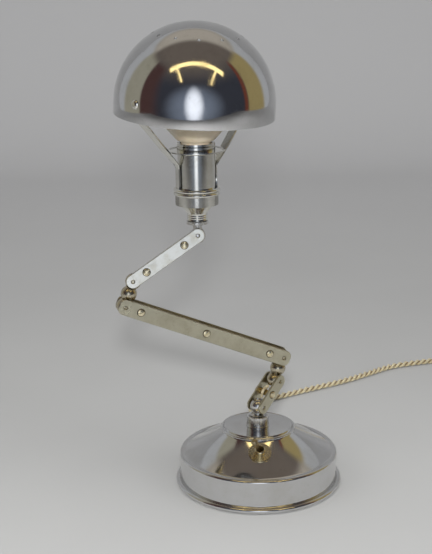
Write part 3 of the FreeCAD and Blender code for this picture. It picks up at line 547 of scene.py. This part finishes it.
# ---- geometry nodes
class Tree(Nodes):
    """A geometry node group with named inputs."""

    def __init__(self, name):
        self.tree = bpy.data.node_groups.new(name, "GeometryNodeTree")
        self.tree.interface.new_socket("Geometry", in_out="OUTPUT", socket_type="NodeSocketGeometry")
        self.source = self.tree.nodes.new("NodeGroupInput")
        self.sink = self.tree.nodes.new("NodeGroupOutput")
        self.inputs = {}
        self.geometry = self.add_input("Geometry", "NodeSocketGeometry")

    def add_input(self, name, kind):
        item = self.tree.interface.new_socket(name, in_out="INPUT", socket_type=kind)
        self.inputs[name] = item.identifier
        return self.source.outputs[name]

    def maths(self, operation, *values):
        return self.first("ShaderNodeMath", {"operation": operation}, dict(enumerate(values)))

    def end(self, geometry, material):
        """Close the tree with Realize Instances and Set Material."""
        real = self.first("GeometryNodeRealizeInstances", {}, {0: geometry})
        dressed = self.first("GeometryNodeSetMaterial", {}, {"Geometry": real, "Material": material})
        self.feed(self.sink.inputs[0], dressed)

    def applied(self, name, mesh, values):
        """A new plain piece from the tree on a mesh, with its inputs set by identifier."""
        carrier = linked(name + "_carrier", mesh)
        modifier = carrier.modifiers.new(self.tree.name, "NODES")
        modifier.node_group = self.tree
        for key, value in values.items():
            modifier[self.inputs[key]] = value
        result = evaluated_mesh(carrier)
        carrier.modifiers.remove(modifier)
        bpy.data.objects.remove(carrier)
        result.name = name
        return linked(name, result)


def vent_tree(material):
    """Drills a ring of round vents through a dome."""
    tree = Tree("drill_vents")
    count = tree.add_input("Count", "NodeSocketInt")
    radius = tree.add_input("Vent radius", "NodeSocketFloat")
    dome = tree.add_input("Dome radius", "NodeSocketFloat")
    angle = tree.add_input("Angle", "NodeSocketFloat")
    ring_radius = tree.maths("MULTIPLY", tree.maths("SINE", angle), dome)
    height = tree.maths("MULTIPLY", tree.maths("COSINE", angle), dome)
    ring = tree.first("GeometryNodeMeshCircle", {}, {"Vertices": count, "Radius": ring_radius})
    lift = tree.first("ShaderNodeCombineXYZ", {}, {2: height})
    raised = tree.first("GeometryNodeSetPosition", {}, {"Geometry": ring, "Offset": lift})
    drill = tree.first("GeometryNodeMeshCylinder", {}, {"Vertices": 20, "Radius": radius, "Depth": 6 * MM})
    outward = tree.first("GeometryNodeInputPosition")
    turn = tree.first("FunctionNodeAlignRotationToVector", {"axis": "Z"}, {"Vector": outward})
    drills = {"Points": raised, "Instance": drill, "Rotation": turn}
    drills = tree.first("GeometryNodeInstanceOnPoints", {}, drills)
    drills = tree.first("GeometryNodeRealizeInstances", {}, {0: drills})
    cut = tree.node("GeometryNodeMeshBoolean", {"operation": "DIFFERENCE", "solver": "EXACT"})
    tree.feed(cut.inputs[0], tree.geometry)
    tree.feed(cut.inputs[1], drills)
    tree.end(cut.outputs[0], material)
    return tree


def screw_tree(material, template):
    """Sets a copy of one screw on every point, turned to the arm."""
    tree = Tree("set_screws")
    lean = tree.add_input("Lean", "NodeSocketRotation")
    slack = tree.add_input("Slot turn", "NodeSocketFloat")
    seed = tree.add_input("Seed", "NodeSocketInt")
    source = tree.node("GeometryNodeObjectInfo", {}, {"Object": template, "As Instance": True})
    spin = tree.node("FunctionNodeRandomValue", {"data_type": "FLOAT"}, {3: slack, "Seed": seed})
    about = tree.first("ShaderNodeCombineXYZ", {}, {2: spin.outputs[1]})
    euler = tree.first("FunctionNodeEulerToRotation", {}, {0: about})
    local = {"rotation_space": "LOCAL"}
    turn = tree.first("FunctionNodeRotateRotation", local, {0: lean, 1: euler})
    places = {"Points": tree.geometry, "Instance": source.outputs["Geometry"], "Rotation": turn}
    tree.end(tree.first("GeometryNodeInstanceOnPoints", {}, places), material)
    return tree


BRAID_STRANDS = 5
BRAID_STEP = 0.0006
BRAID_RADIUS = 0.00078
STRAND_RADIUS = 0.00030


def braid_tree(material):
    """Winds fine strands both ways round each line of a mesh."""
    tree = Tree("wind_braid")
    radius = tree.add_input("Braid radius", "NodeSocketFloat")
    strand = tree.add_input("Strand radius", "NodeSocketFloat")
    lay = tree.add_input("Lay", "NodeSocketFloat")
    line = tree.first("GeometryNodeMeshToCurve", {}, {0: tree.geometry})
    step = {"Curve": line, "Length": BRAID_STEP}
    even = tree.first("GeometryNodeResampleCurve", {"mode": "LENGTH"}, step)
    walked = tree.node("GeometryNodeSplineParameter").outputs["Length"]
    turns = tree.maths("DIVIDE", walked, lay)
    normal = tree.first("GeometryNodeInputNormal")
    tangent = tree.first("GeometryNodeInputTangent")
    circle = {"Resolution": 5, "Radius": strand}
    section = tree.first("GeometryNodeCurvePrimitiveCircle", {}, circle)
    joined = tree.node("GeometryNodeJoinGeometry")
    for way in (1, -1):
        for index in range(BRAID_STRANDS):
            phase = tree.maths("MULTIPLY_ADD", turns, way * 2 * math.pi, 2 * math.pi * index / BRAID_STRANDS)
            turn = {"Vector": normal, "Axis": tangent, "Angle": phase}
            outward = tree.first("ShaderNodeVectorRotate", {"rotation_type": "AXIS_ANGLE"}, turn)
            offset = tree.first("ShaderNodeVectorMath", {"operation": "SCALE"}, {0: outward, "Scale": radius})
            wound = tree.first("GeometryNodeSetPosition", {}, {"Geometry": even, "Offset": offset})
            swept = {"Curve": wound, "Profile Curve": section, "Fill Caps": True}
            tree.feed(joined.inputs[0], tree.first("GeometryNodeCurveToMesh", {}, swept))
    tree.end(joined.outputs[0], material)
    return tree


# ---- stage
SENSOR_HEIGHT = 24.0
PICTURE_HEIGHT = 554
FOCAL_PIXELS = 1156.7
CAMERA_PLACE = (-0.0305, -0.8272, 0.3875)
CAMERA_DOWN = math.radians(15.22)
CAMERA_ROLL = math.radians(-0.864)

# Sweep of floor and backdrop, in metres: front edge, back wall, bend between, height and half width.
SWEEP_FRONT = -1.1
SWEEP_BACK = 1.9
SWEEP_BEND = 0.6
SWEEP_TOP = 2.4
SWEEP_SIDE = 2.2

# Place, aim, size and power of each lamp.
LIGHTS = {
    "key": ((-0.03, -0.86, 0.49), (-0.03, 0, 0.17), 0.06, 9.5),
    "left_box": ((-1.0, -0.45, 0.75), (0, 0, 0.18), 0.8, 3.0),
    "right_box": ((1.05, -0.5, 0.6), (0, 0, 0.15), 0.8, 2.5),
    "top_box": ((0.0, -0.15, 1.2), (0, 0.05, 0), 0.6, 3.5),
}


class LAMP_OT_stage(bpy.types.Operator):
    """Camera, sweep of floor and backdrop, and soft lights."""

    bl_idname = "lamp.stage"
    bl_label = "Stage"

    def execute(self, context):
        self.camera(context)
        self.sweep(context)
        self.lights(context)
        return {"FINISHED"}

    def camera(self, context):
        data = bpy.data.cameras.new("view")
        data.sensor_fit = "VERTICAL"
        data.sensor_height = SENSOR_HEIGHT
        data.lens = SENSOR_HEIGHT * FOCAL_PIXELS / PICTURE_HEIGHT
        data.clip_start = 0.01
        camera = bpy.data.objects.new("view", data)
        context.scene.collection.objects.link(camera)
        pitch = Matrix.Rotation(math.pi / 2 - CAMERA_DOWN, 4, "X")
        roll = Matrix.Rotation(CAMERA_ROLL, 4, "Z")
        camera.matrix_world = Matrix.Translation(CAMERA_PLACE) @ pitch @ roll
        context.scene.camera = camera

    def sweep(self, context):
        """Floor that curves up into the backdrop."""
        line = [(SWEEP_FRONT, 0.0)]
        line += arc((SWEEP_BACK - SWEEP_BEND, SWEEP_BEND), SWEEP_BEND, -90, 0, 16)
        line += [(SWEEP_BACK, SWEEP_TOP)]
        shape = bmesh.new()
        left, right = [[shape.verts.new((x, y, z)) for y, z in line] for x in (-SWEEP_SIDE, SWEEP_SIDE)]
        for index in range(len(line) - 1):
            shape.faces.new((left[index], right[index], right[index + 1], left[index + 1]))
        mesh = mesh_from("sweep", shape)
        mesh.shade_smooth()
        mesh.materials.append(self.paper(context.scene.lamp_colours.floor))
        linked("sweep", mesh)

    def paper(self, colour):
        """Plain paper, darker near the key lamp and lighter towards the back: painted shade and painted light."""
        finish = Finish("backdrop", Roughness=0.8, Specular_IOR_Level=0.2)
        cloud = finish.noise(2.2, 3.0).between(0.3, 0.75)
        grain = finish.noise(900.0, 2.0)
        paper = finish.mix(colour, [0.9 * part for part in colour], cloud * 0.8 + grain * 0.2)
        place = finish.node("ShaderNodeSeparateXYZ", {}, {0: finish.place()})
        depth = Signal(finish, place.outputs[1])
        # Painted shade: the sweep is darker at the front, near the key lamp.
        paper = finish.mix((0.16, 0.16, 0.16), paper, depth.between(-0.95, -0.30))
        # Painted light: the sweep grows lighter towards the back wall.
        finish.set(Base_Color=finish.mix(paper, (0.52, 0.52, 0.525), depth.between(0.05, 1.7)))
        return finish.material

    def lights(self, context):
        """A small key above the camera and soft boxes, whose glints the room's own glow gives."""
        for name, (place, aim, size, power) in LIGHTS.items():
            data = bpy.data.lights.new(name, "AREA")
            data.size = size
            data.energy = power
            lamp = bpy.data.objects.new(name, data)
            lamp.visible_glossy = False
            context.scene.collection.objects.link(lamp)
            ray = Vector(aim) - Vector(place)
            lamp.matrix_world = Matrix.Translation(place) @ ray.to_track_quat("-Z", "Y").to_matrix().to_4x4()
        Room(context)


class Room(Finish):
    """World: plain grey to the eye and on rough surfaces, a darker room with soft lamps in metal."""

    def __init__(self, context):
        world = bpy.data.worlds.new("room")
        context.scene.world = world
        world.use_nodes = True
        self.tree = world.node_tree
        self.tree.nodes.clear()
        heading = self.node("ShaderNodeTexCoord").outputs["Generated"]
        parts = self.node("ShaderNodeSeparateXYZ", {}, {0: heading})
        across, away, up = (Signal(self, parts.outputs[index]) for index in range(3))
        bearing = across.bearing(away * -1.0)
        rise = up.arcsine()
        room = self.walls(across, away, bearing, rise)
        glow = ((bearing * 3.6) ** 2.0 + ((rise - 0.05) * 1.9) ** 2.0).until(0.0, 1.0)
        room = self.mix(room, (1.35, 1.42, 1.55), glow)
        room = self.mix(room, (2.2, 1.7, 0.75), self.tubes(across, away, up))
        mirrored = self.node("ShaderNodeBackground", {}, {"Color": room})
        plain = self.node("ShaderNodeBackground", {}, {"Color": (0.60, 0.60, 0.60)})
        glossy = self.node("ShaderNodeLightPath").outputs["Is Glossy Ray"]
        pick = self.node("ShaderNodeMixShader", {}, {0: glossy, 1: plain.outputs[0], 2: mirrored.outputs[0]})
        self.node("ShaderNodeOutputWorld", {}, {"Surface": pick.outputs[0]})

    def walls(self, across, away, bearing, rise):
        """Walls by bearing and rise in radians: dark ahead, coloured and pale to the sides."""
        side = bearing.size()
        low = rise.until(0.78, 0.95)
        walls = self.mix((0.040, 0.043, 0.055), (0.15, 0.125, 0.105), rise.between(0.45, 1.1))
        haze = ((bearing * 1.2) ** 2.0 + (rise * 1.6) ** 2.0).until(0.0, 1.0)
        brown = (bearing * -1.0).between(0.80, 1.15) * low
        khaki = self.mix((0.33, 0.315, 0.25), (0.33, 0.265, 0.12), across.between(-0.1, 0.1))
        streak = (bearing - 1.36).size().until(0.03, 0.07) * low
        ceiling = away.between(0.14, 0.30) * (1.0 - low)
        for colour, where in (
            ((0.20, 0.235, 0.30), haze),
            ((0.075, 0.040, 0.037), brown),
            (khaki, side.between(1.39, 1.46) * low),
            ((0.42, 0.43, 0.44), side.between(1.93, 2.07) * low),
            ((0.16, 0.048, 0.03), streak),
            ((0.44, 0.40, 0.34), ceiling),
        ):
            walls = self.mix(walls, colour, where)
        return walls

    def tubes(self, across, away, up):
        """A long lamp tube across the ceiling and two short ones that run towards the viewer."""
        across = across - 0.06
        long_tube = (away + 0.46).size().until(0.036, 0.054) * across.size().until(0.53, 0.57)
        lean = (across.size() - 0.38 - (away + 0.61) * 0.27).size()
        short_tubes = lean.until(0.012, 0.024) * (away + 0.61).size().until(0.15, 0.17)
        return (long_tube * up.between(0.3, 0.5)).largest(short_tubes * up.between(0.2, 0.4))


# ---- flex
# Route of the flex, in metres, from the tip of its sleeve to the first turn of the coil.
FLEX_ROUTE = [
    (0.0, 0.0818, 0.0120),
    (0.0, 0.1000, 0.0106),
    (-0.0015, 0.1210, 0.0062),
    (0.0005, 0.1420, 0.0031),
    (0.0105, 0.1575, 0.0029),
    (0.0280, 0.1680, 0.0029),
    (0.0535, 0.1839, 0.0029),
    (0.0883, 0.2038, 0.0029),
    (0.1130, 0.2225, 0.0029),
    (0.1380, 0.2435, 0.0029),
    (0.1620, 0.2520, 0.0029),
    (0.1870, 0.2595, 0.0029),
    (0.2120, 0.2620, 0.0029),
    (0.2360, 0.2590, 0.0029),
]
COIL_INNER = 0.0220
COIL_STEP = 0.0069
COIL_LIFT = 0.0064
COIL_TURNS = 3
COIL_TAIL = 0.045
PLUG_AXIS = 0.0130
POINTS_PER_TURN = 16
FLEX_SIDES = 12
FLEX_STEPS = 11  # in one full twist
CORE_SHARE = 0.52  # radius of one core in the radius over both


def eased(share):
    """0 to 1 with a level start and end."""
    return share * share * (3 - 2 * share)


def coil_points(flex_radius):
    """Points of the put-away coil: inwards below, a climb, outwards above, a rise to the plug."""
    arrival = (Vector(FLEX_ROUTE[-1]) - Vector(FLEX_ROUTE[-2])).normalized()
    first = Vector(FLEX_ROUTE[-1]) + arrival * (2 * flex_radius)
    start = math.atan2(arrival.y, arrival.x) + math.pi / 2
    outer = COIL_INNER + COIL_STEP * COIL_TURNS
    centre = first - Vector((math.cos(start), math.sin(start), 0)) * outer

    def at(radius, angle, height):
        return Vector((centre.x + radius * math.cos(angle), centre.y + radius * math.sin(angle), height))

    low = FLEX_ROUTE[-1][2]
    quarters = 4 * COIL_TURNS
    total = 2 * quarters + 1
    swell = 1 / math.cos(math.pi / POINTS_PER_TURN) ** 0.5
    points = []
    for index in range(total * POINTS_PER_TURN // 4 + 1):
        step = index * 4 / POINTS_PER_TURN
        if step <= quarters:
            radius, height = outer - COIL_STEP * step / 4, low
        elif step <= quarters + 2:
            share = (step - quarters) / 2
            radius, height = COIL_INNER, low + COIL_LIFT * eased(share)
        else:
            radius = COIL_INNER + COIL_STEP * (step - quarters - 2) / 4
            share = max(0.0, step - total + 2) / 2
            height = low + COIL_LIFT + (PLUG_AXIS - low - COIL_LIFT) * eased(share)
        angle = start - step * math.pi / 2
        points.append(at(swell * radius, angle, height))
    heading = Vector((math.sin(angle), -math.cos(angle), 0))
    last = at(radius, angle, PLUG_AXIS)
    return [*points[:-1], last, last + heading * (COIL_TAIL / 2), last + heading * COIL_TAIL]


def smooth_line(name, points):
    """Points along a NURBS spline through a route, as its own evaluation gives them."""
    curve = bpy.data.curves.new(name, "CURVE")
    curve.dimensions = "3D"
    curve.resolution_u = 10
    spline = curve.splines.new("NURBS")
    spline.points.add(len(points) - 1)
    for point, place in zip(spline.points, points):
        point.co = (*place, 1.0)
    spline.order_u = 3
    spline.use_endpoint_u = True
    carrier = linked(name, curve)
    mesh = evaluated_mesh(carrier)
    line = [vertex.co.copy() for vertex in mesh.vertices]
    bpy.data.objects.remove(carrier)
    bpy.data.meshes.remove(mesh)
    return line


def evenly(line, spacing):
    """The line's points again, a steady distance apart."""
    places = [line[0].copy()]
    left = spacing
    for here, there in zip(line, line[1:]):
        span = (there - here).length
        walked = 0.0
        while span - walked >= left:
            walked += left
            places.append(here.lerp(there, walked / span))
            left = spacing
        left -= span - walked
    places.append(line[-1].copy())
    return places


def frames_along(line):
    """A heading and a steady side direction at every point of a line."""
    headings = []
    for index in range(len(line)):
        before = line[max(index - 1, 0)]
        after = line[min(index + 1, len(line) - 1)]
        headings.append((after - before).normalized())
    side = headings[0].cross(Vector((0, 0, 1))).normalized()
    frames = []
    for heading in headings:
        side = (side - heading * side.dot(heading)).normalized()
        frames.append((heading, side, heading.cross(side)))
    return frames


def tube_rings(shape, uv, places, frames, radius, sides):
    """One closed tube in a bmesh, with its UV round and along in metres."""
    turns = [2 * math.pi * k / sides for k in range(sides)]
    rings = []
    for place, (heading, side, up) in zip(places, frames):
        rings.append([
            shape.verts.new(place + (side * math.cos(turn) + up * math.sin(turn)) * radius) for turn in turns
        ])
    walked = 0.0
    for index in range(len(rings) - 1):
        here, there = rings[index], rings[index + 1]
        step = (places[index + 1] - places[index]).length
        for k in range(sides):
            after = (k + 1) % sides
            face = shape.faces.new((here[k], here[after], there[after], there[k]))
            face.smooth = True
            marks = ((k, walked), (k + 1, walked), (k + 1, walked + step), (k, walked + step))
            for loop, (turn, along) in zip(face.loops, marks):
                loop[uv].uv = (turn / sides, along)
        walked += step
    shape.faces.new(list(reversed(rings[0])))
    shape.faces.new(rings[-1])


def twisted(line, frames, offset, lay, start):
    """Places and frames of one core that winds round a line, its side turned outwards."""
    places, turned = [], []
    walked = 0.0
    for index, (point, (heading, side, up)) in enumerate(zip(line, frames)):
        if index:
            walked += (point - line[index - 1]).length
        turn = -2 * math.pi * walked / lay + start
        outward = side * math.cos(turn) + up * math.sin(turn)
        places.append(point + outward * offset)
        turned.append((heading, outward, heading.cross(outward)))
    return places, turned


class LAMP_OT_flex(bpy.types.Operator):
    """Twisted two-core fabric flex with its put-away coil."""

    bl_idname = "lamp.flex"
    bl_label = "Flex"

    def execute(self, context):
        sizes = context.scene.lamp_sizes
        route = [Vector(point) for point in FLEX_ROUTE] + coil_points(sizes.flex_radius)
        line = evenly(smooth_line("flex_route", route), sizes.flex_lay / FLEX_STEPS)
        frames = frames_along(line)
        core = sizes.flex_radius * CORE_SHARE
        offset = sizes.flex_radius - core
        shape = bmesh.new()
        uv = shape.loops.layers.uv.new("weave")
        for start in (0.0, math.pi):
            places, turned = twisted(line, frames, offset, sizes.flex_lay, start)
            tube_rings(shape, uv, places, turned, core, FLEX_SIDES)
        bmesh.ops.recalc_face_normals(shape, faces=shape.faces)
        flex = linked("flex", mesh_from("flex", shape))
        finished(flex, "flex_braid")
        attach(flex, BODY_OF["cord"])
        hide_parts("cord", "cord_coil")
        plug = smooth_skin("plug_body")
        pins = smooth_skin("plug_pins")
        smooth_skin("cord_sleeve")
        return {"FINISHED"}


# ---- shade
DOME_STEPS = 44
DOME_SIDES = 128


class LAMP_OT_shade(bpy.types.Operator):
    """Spun mirror dome with its vents and pivots."""

    bl_idname = "lamp.shade"
    bl_label = "Shade"

    def execute(self, context):
        sizes = context.scene.lamp_sizes
        outer, wall, skirt = sizes.shade_radius, sizes.shade_wall, sizes.shade_skirt
        lip = wall / 2
        outline = arc((0, 0), outer, 90, 0, DOME_STEPS)
        outline += arc((outer - lip, -skirt + lip), lip, 0, -180, 6)
        outline += arc((0, 0), outer - wall, 0, 90, DOME_STEPS)
        mesh = lathe("dome", outline, DOME_SIDES)
        tree = vent_tree(Finishes.get("mirror_chrome"))
        holes = {
            "Count": sizes.vent_count,
            "Vent radius": sizes.vent_radius,
            "Dome radius": outer - wall / 2,
            "Angle": sizes.vent_angle,
        }
        piece = tree.applied("shade_dome", mesh, holes)
        piece.data.transform(self.tilted(sizes))
        soften(piece.data, 35.0)
        stand_for(piece, "shade")
        smooth_skin("shade_rivets", "holder_nickel")
        return {"FINISHED"}

    def tilted(self, sizes):
        """Places the dome on the head, its first vent to the front, tilted about its pivots."""
        pivot = joint_place("shade_tilt")
        head = joint_place("head_hinge")
        lift = Matrix.Translation(head + Vector((0, 0, sizes.shade_rise)))
        turn = Matrix.Rotation(sizes.vent_turn - math.pi / 2, 4, "Z")
        tilt = Matrix.Rotation(sizes.shade_tilt, 4, joint_axis("shade_tilt"))
        return Matrix.Translation(pivot) @ tilt @ Matrix.Translation(-pivot) @ lift @ turn


# ---- base
BASE_SIDES = 192


class LAMP_OT_base(bpy.types.Operator):
    """Spun base shell, its turned collar and what stands under it."""

    bl_idname = "lamp.base"
    bl_label = "Base"

    def execute(self, context):
        outline = in_metres(self.outline(context.scene.lamp_sizes.foot_radius / MM))
        piece = linked("base_spinning", lathe("base_spinning", outline, BASE_SIDES))
        soften(piece.data, 40.0)
        stand_for(piece, "base_shell")
        smooth_skins(
            "collar", "low_stud", "base_plate", "base_felt", "base_ballast", "collar_nut", "low_stud_nut"
        )
        return {"FINISHED"}

    def outline(self, foot):
        """Section of the shell in millimetres: rolled foot, wall, shoulder bead, cone, ringed flat top."""
        wall = foot - 3.8
        inside = wall - 0.9
        points = [(6.05, 44.8), (24.6, 44.8)]
        points += arc((25.3, 44.55), 0.6, 150, 5, 6)
        points += [(26.25, 44.0)]
        points += arc((27.3, 43.4), 1.0, 150, -50, 10)
        points += [(28.3, 41.7), (55.3, 25.5), (56.5, 24.75)]
        points += arc((58.3, 23.2), 2.0, 125, -35, 14)
        points += [(wall, 21.4), (wall, 4.9)]
        points += arc((foot - 2.2, 2.4), 2.2, 130, -180, 20)
        points += [(inside, 2.4), (inside, 22.8), (55.4, 24.5)]
        return points + [(27.0, 41.4), (26.4, 43.1), (25.2, 43.9), (6.05, 43.9)]


# ---- switch
class LAMP_OT_switch(bpy.types.Operator):
    """Stepped ring, domed bush and pear-shaped lever of the switch."""

    bl_idname = "lamp.switch"
    bl_label = "Switch"

    def execute(self, context):
        smooth_skins("switch_ring", "switch_bush", "switch_body")
        smooth_skin("switch_dolly", "bronze_lever")
        return {"FINISHED"}


# ---- arms
# Hinges at the start and end of each arm, and its screws from the start, in metres.
ARMS = {
    "low_arm": ("low_arm_hinge", "low_link_hinge", (0.0121,)),
    "mid_arm": ("mid_arm_hinge", "high_link_hinge", (0.0121, 0.065, 0.1179)),
    "high_arm": ("high_arm_hinge", "head_hinge", (0.0121, 0.0459)),
}
# Way of a wire from its ball to its run between the plates: forward and outward from the ball.
WIRE_BEND = ((0.00695, 0.0013), (0.0080, 0.0021), (0.0092, 0.0032), (0.0102, 0.0037))
SCREW_SIDES = 28


def arm_frame(name):
    """Start, direction, outward side and length of an arm."""
    start, end = ARMS[name][:2]
    origin = joint_place(start)
    along = joint_place(end) - origin
    return origin, along.normalized(), joint_axis(start), along.length


def screw_frame(name):
    """Places of an arm's screws and the turn from +Z to their heads' side."""
    origin, along, side, _ = arm_frame(name)
    return [origin + along * place for place in ARMS[name][2]], side.to_track_quat("Z", "Y")


class LAMP_OT_arms(bpy.types.Operator):
    """Plates, sleeves, nuts and braided wires of the three arms."""

    bl_idname = "lamp.arms"
    bl_label = "Arms"

    def execute(self, context):
        for name in ARMS:
            smooth_skins(*nodes_of(name, "plate_front", "plate_rear", "spacers", "nuts"), angle=28.0)
            self.wires(context, name)
        return {"FINISHED"}

    def wires(self, context, name):
        """A braided sleeve along each of the arm's two wires."""
        origin, along, side, length = arm_frame(name)
        across = along.cross(side)
        stations = [*WIRE_BEND, *((length - forward, out) for forward, out in reversed(WIRE_BEND))]
        lines = bmesh.new()
        for way in (1, -1):
            points = [
                lines.verts.new(origin + along * forward + across * (way * out)) for forward, out in stations
            ]
            for pair in zip(points, points[1:]):
                lines.edges.new(pair)
        mesh = mesh_from(name + "_wire_lines", lines)
        tree = braid_tree(Finishes.get("wire_braid"))
        braid = {
            "Braid radius": BRAID_RADIUS,
            "Strand radius": STRAND_RADIUS,
            "Lay": context.scene.lamp_sizes.braid_lay,
        }
        piece = tree.applied(name + "_braid", mesh, braid)
        piece.data.shade_smooth()
        stand_for(piece, name + "_wires")


class LAMP_OT_screws(bpy.types.Operator):
    """Slotted screws through the arms, with a thin ring of painted shade round each head."""

    bl_idname = "lamp.screws"
    bl_label = "Screws"

    def execute(self, context):
        template = self.template()
        tree = screw_tree(Finishes.get("pale_gold"), template)
        for index, name in enumerate(ARMS):
            places, lean = screw_frame(name)
            points = bpy.data.meshes.new(name + "_screw_places")
            points.from_pydata(places, [], [])
            turns = {"Lean": lean.to_euler(), "Slot turn": 3.0, "Seed": index}
            piece = tree.applied(name + "_slotted_screws", points, turns)
            soften(piece.data, 30.0)
            stand_for(piece, name + "_screws")
        bpy.data.objects.remove(template)
        self.rims()
        return {"FINISHED"}

    def template(self):
        """One screw on +Z: a domed head with a slot over its shank."""
        head = [(0, 8.15), (1.0, 8.1), (1.9, 7.94), (2.35, 7.78)]
        head += arc((2.35, 7.48), 0.3, 75, 0, 4)
        outline = in_metres(head + [(2.65, 7.0), (1.5, 7.0), (1.5, -9.2), (0, -9.2)])
        screw = linked("screw_pattern", lathe("screw_pattern", outline, SCREW_SIDES))
        slot = bmesh.new()
        bmesh.ops.create_cube(slot, size=1.0)
        size = Matrix.Diagonal((8 * MM, 0.7 * MM, 0.9 * MM, 1))
        slot.transform(Matrix.Translation((0, 0, 8.05 * MM)) @ size)
        cutter = linked("slot", mesh_from("slot", slot))
        cut = screw.modifiers.new("slot", "BOOLEAN")
        cut.operation = "DIFFERENCE"
        cut.object = cutter
        mesh = evaluated_mesh(screw)
        bpy.data.objects.remove(screw)
        bpy.data.objects.remove(cutter)
        return linked("screw_template", mesh)

    def rims(self):
        """Thin dark ring round every screw head: painted shade of the recess that the head sits in."""
        outline = in_metres([(2.66, 7.0), (3.05, 7.0), (2.98, 7.07), (2.66, 7.09)])
        for name in ARMS:
            places, lean = screw_frame(name)
            shape = bmesh.new()
            for place in places:
                turned = Matrix.Translation(place) @ lean.to_matrix().to_4x4()
                shape.from_mesh(lathe("rim", outline, SCREW_SIDES, turned))
            piece = linked(name + "_screw_rims", mesh_from(name + "_screw_rims", shape))
            # The ring is painted shade, not a part of the screw.
            finished(piece, "painted_recess_shade")
            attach(piece, BODY_OF[name + "_screws"])


# ---- links
class LAMP_OT_links(SmoothedGroup, bpy.types.Operator):
    """Balls of both links with their nipples and ring nuts."""

    bl_idname = "lamp.links"
    bl_label = "Ball links"
    nodes = [
        node
        for link in ("low_link", "high_link")
        for node in nodes_of(link, "lower_ball", "middle_ball", "upper_ball", "nipple", "ring_nut")
    ]


# ---- lampholder
class LAMP_OT_lampholder(SmoothedGroup, bpy.types.Operator):
    """Ball stud, milled cap, barrel, skirt, shade ring and fork."""

    bl_idname = "lamp.lampholder"
    bl_label = "Lampholder"
    nodes = (
        "head_stud", "head_stud_nut", "holder_cap", "holder_barrel", "holder_core",
        "holder_plungers", "holder_skirt", "shade_ring", "shade_fork",
    )


# Neck and cone of the bulb in millimetres: radius and depth below the globe's centre.
NECK = ((10.6, 23.9), (11.2, 23.1), (13.6, 22.0), (14.2, 21.4), (17.2, 18.1))
GLOBE_START = -35.3  # degrees from level, where the neck's cone meets the globe
GLOBE_STEPS = 40
GLOBE_SIDES = 96


class LAMP_OT_bulb(bpy.types.Operator):
    """Frosted bulb on its bayonet cap."""

    bl_idname = "lamp.bulb"
    bl_label = "Bulb"

    def execute(self, context):
        smooth_skin("bulb_cap")
        low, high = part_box("bulb_glass")
        head = joint_place("head_hinge")
        globe, wall = 25.0 * MM, 0.8 * MM
        centre = high.z - globe
        neck = [(10.6, low.z)] + [(r, centre - drop * MM) for r, drop in NECK]
        outline = [(0, low.z)] + [(r * MM, z) for r, z in neck]
        outline += arc((0, centre), globe, GLOBE_START, 90, GLOBE_STEPS)
        outline += arc((0, centre), globe - wall, 90, GLOBE_START, GLOBE_STEPS)
        outline += [(r * MM - wall, z + 0.4 * MM) for r, z in reversed(neck[1:])]
        outline += [(10.6 * MM - wall, low.z + wall), (0, low.z + wall)]
        mesh = lathe("bulb_globe", outline, GLOBE_SIDES, Matrix.Translation((head.x, head.y, 0)))
        soften(mesh, 40.0)
        stand_for(linked("bulb_globe", mesh), "bulb_glass")
        return {"FINISHED"}


# ---- panel
OPERATORS = (
    LAMP_OT_stage,
    LAMP_OT_flex,
    LAMP_OT_base,
    LAMP_OT_switch,
    LAMP_OT_arms,
    LAMP_OT_screws,
    LAMP_OT_links,
    LAMP_OT_lampholder,
    LAMP_OT_bulb,
    LAMP_OT_shade,
)


class LAMP_PT_pieces(bpy.types.Panel):
    """Lists the lamp's pieces and settings."""

    bl_idname = "LAMP_PT_pieces"
    bl_label = "Jointed desk lamp"
    bl_space_type = "VIEW_3D"
    bl_region_type = "UI"
    bl_category = "Lamp"

    def draw(self, context):
        for settings in (context.scene.lamp_sizes, context.scene.lamp_colours):
            box = self.layout.box()
            for name in settings.__annotations__:
                box.prop(settings, name)
        for operator in OPERATORS:
            self.layout.operator(operator.bl_idname)


CLASSES = (LampSizes, LampColours, *OPERATORS, LAMP_PT_pieces)


def register():
    for item in CLASSES:
        bpy.utils.register_class(item)
    bpy.types.Scene.lamp_sizes = bpy.props.PointerProperty(type=LampSizes)
    bpy.types.Scene.lamp_colours = bpy.props.PointerProperty(type=LampColours)


def unregister():
    del bpy.types.Scene.lamp_colours
    del bpy.types.Scene.lamp_sizes
    for item in reversed(CLASSES):
        bpy.utils.unregister_class(item)


def main():
    register()
    bpy.context.scene.view_settings.view_transform = "Standard"
    for operator in OPERATORS:
        group, name = operator.bl_idname.split(".")
        getattr(getattr(bpy.ops, group), name)()


if __name__ == "__main__":
    main()
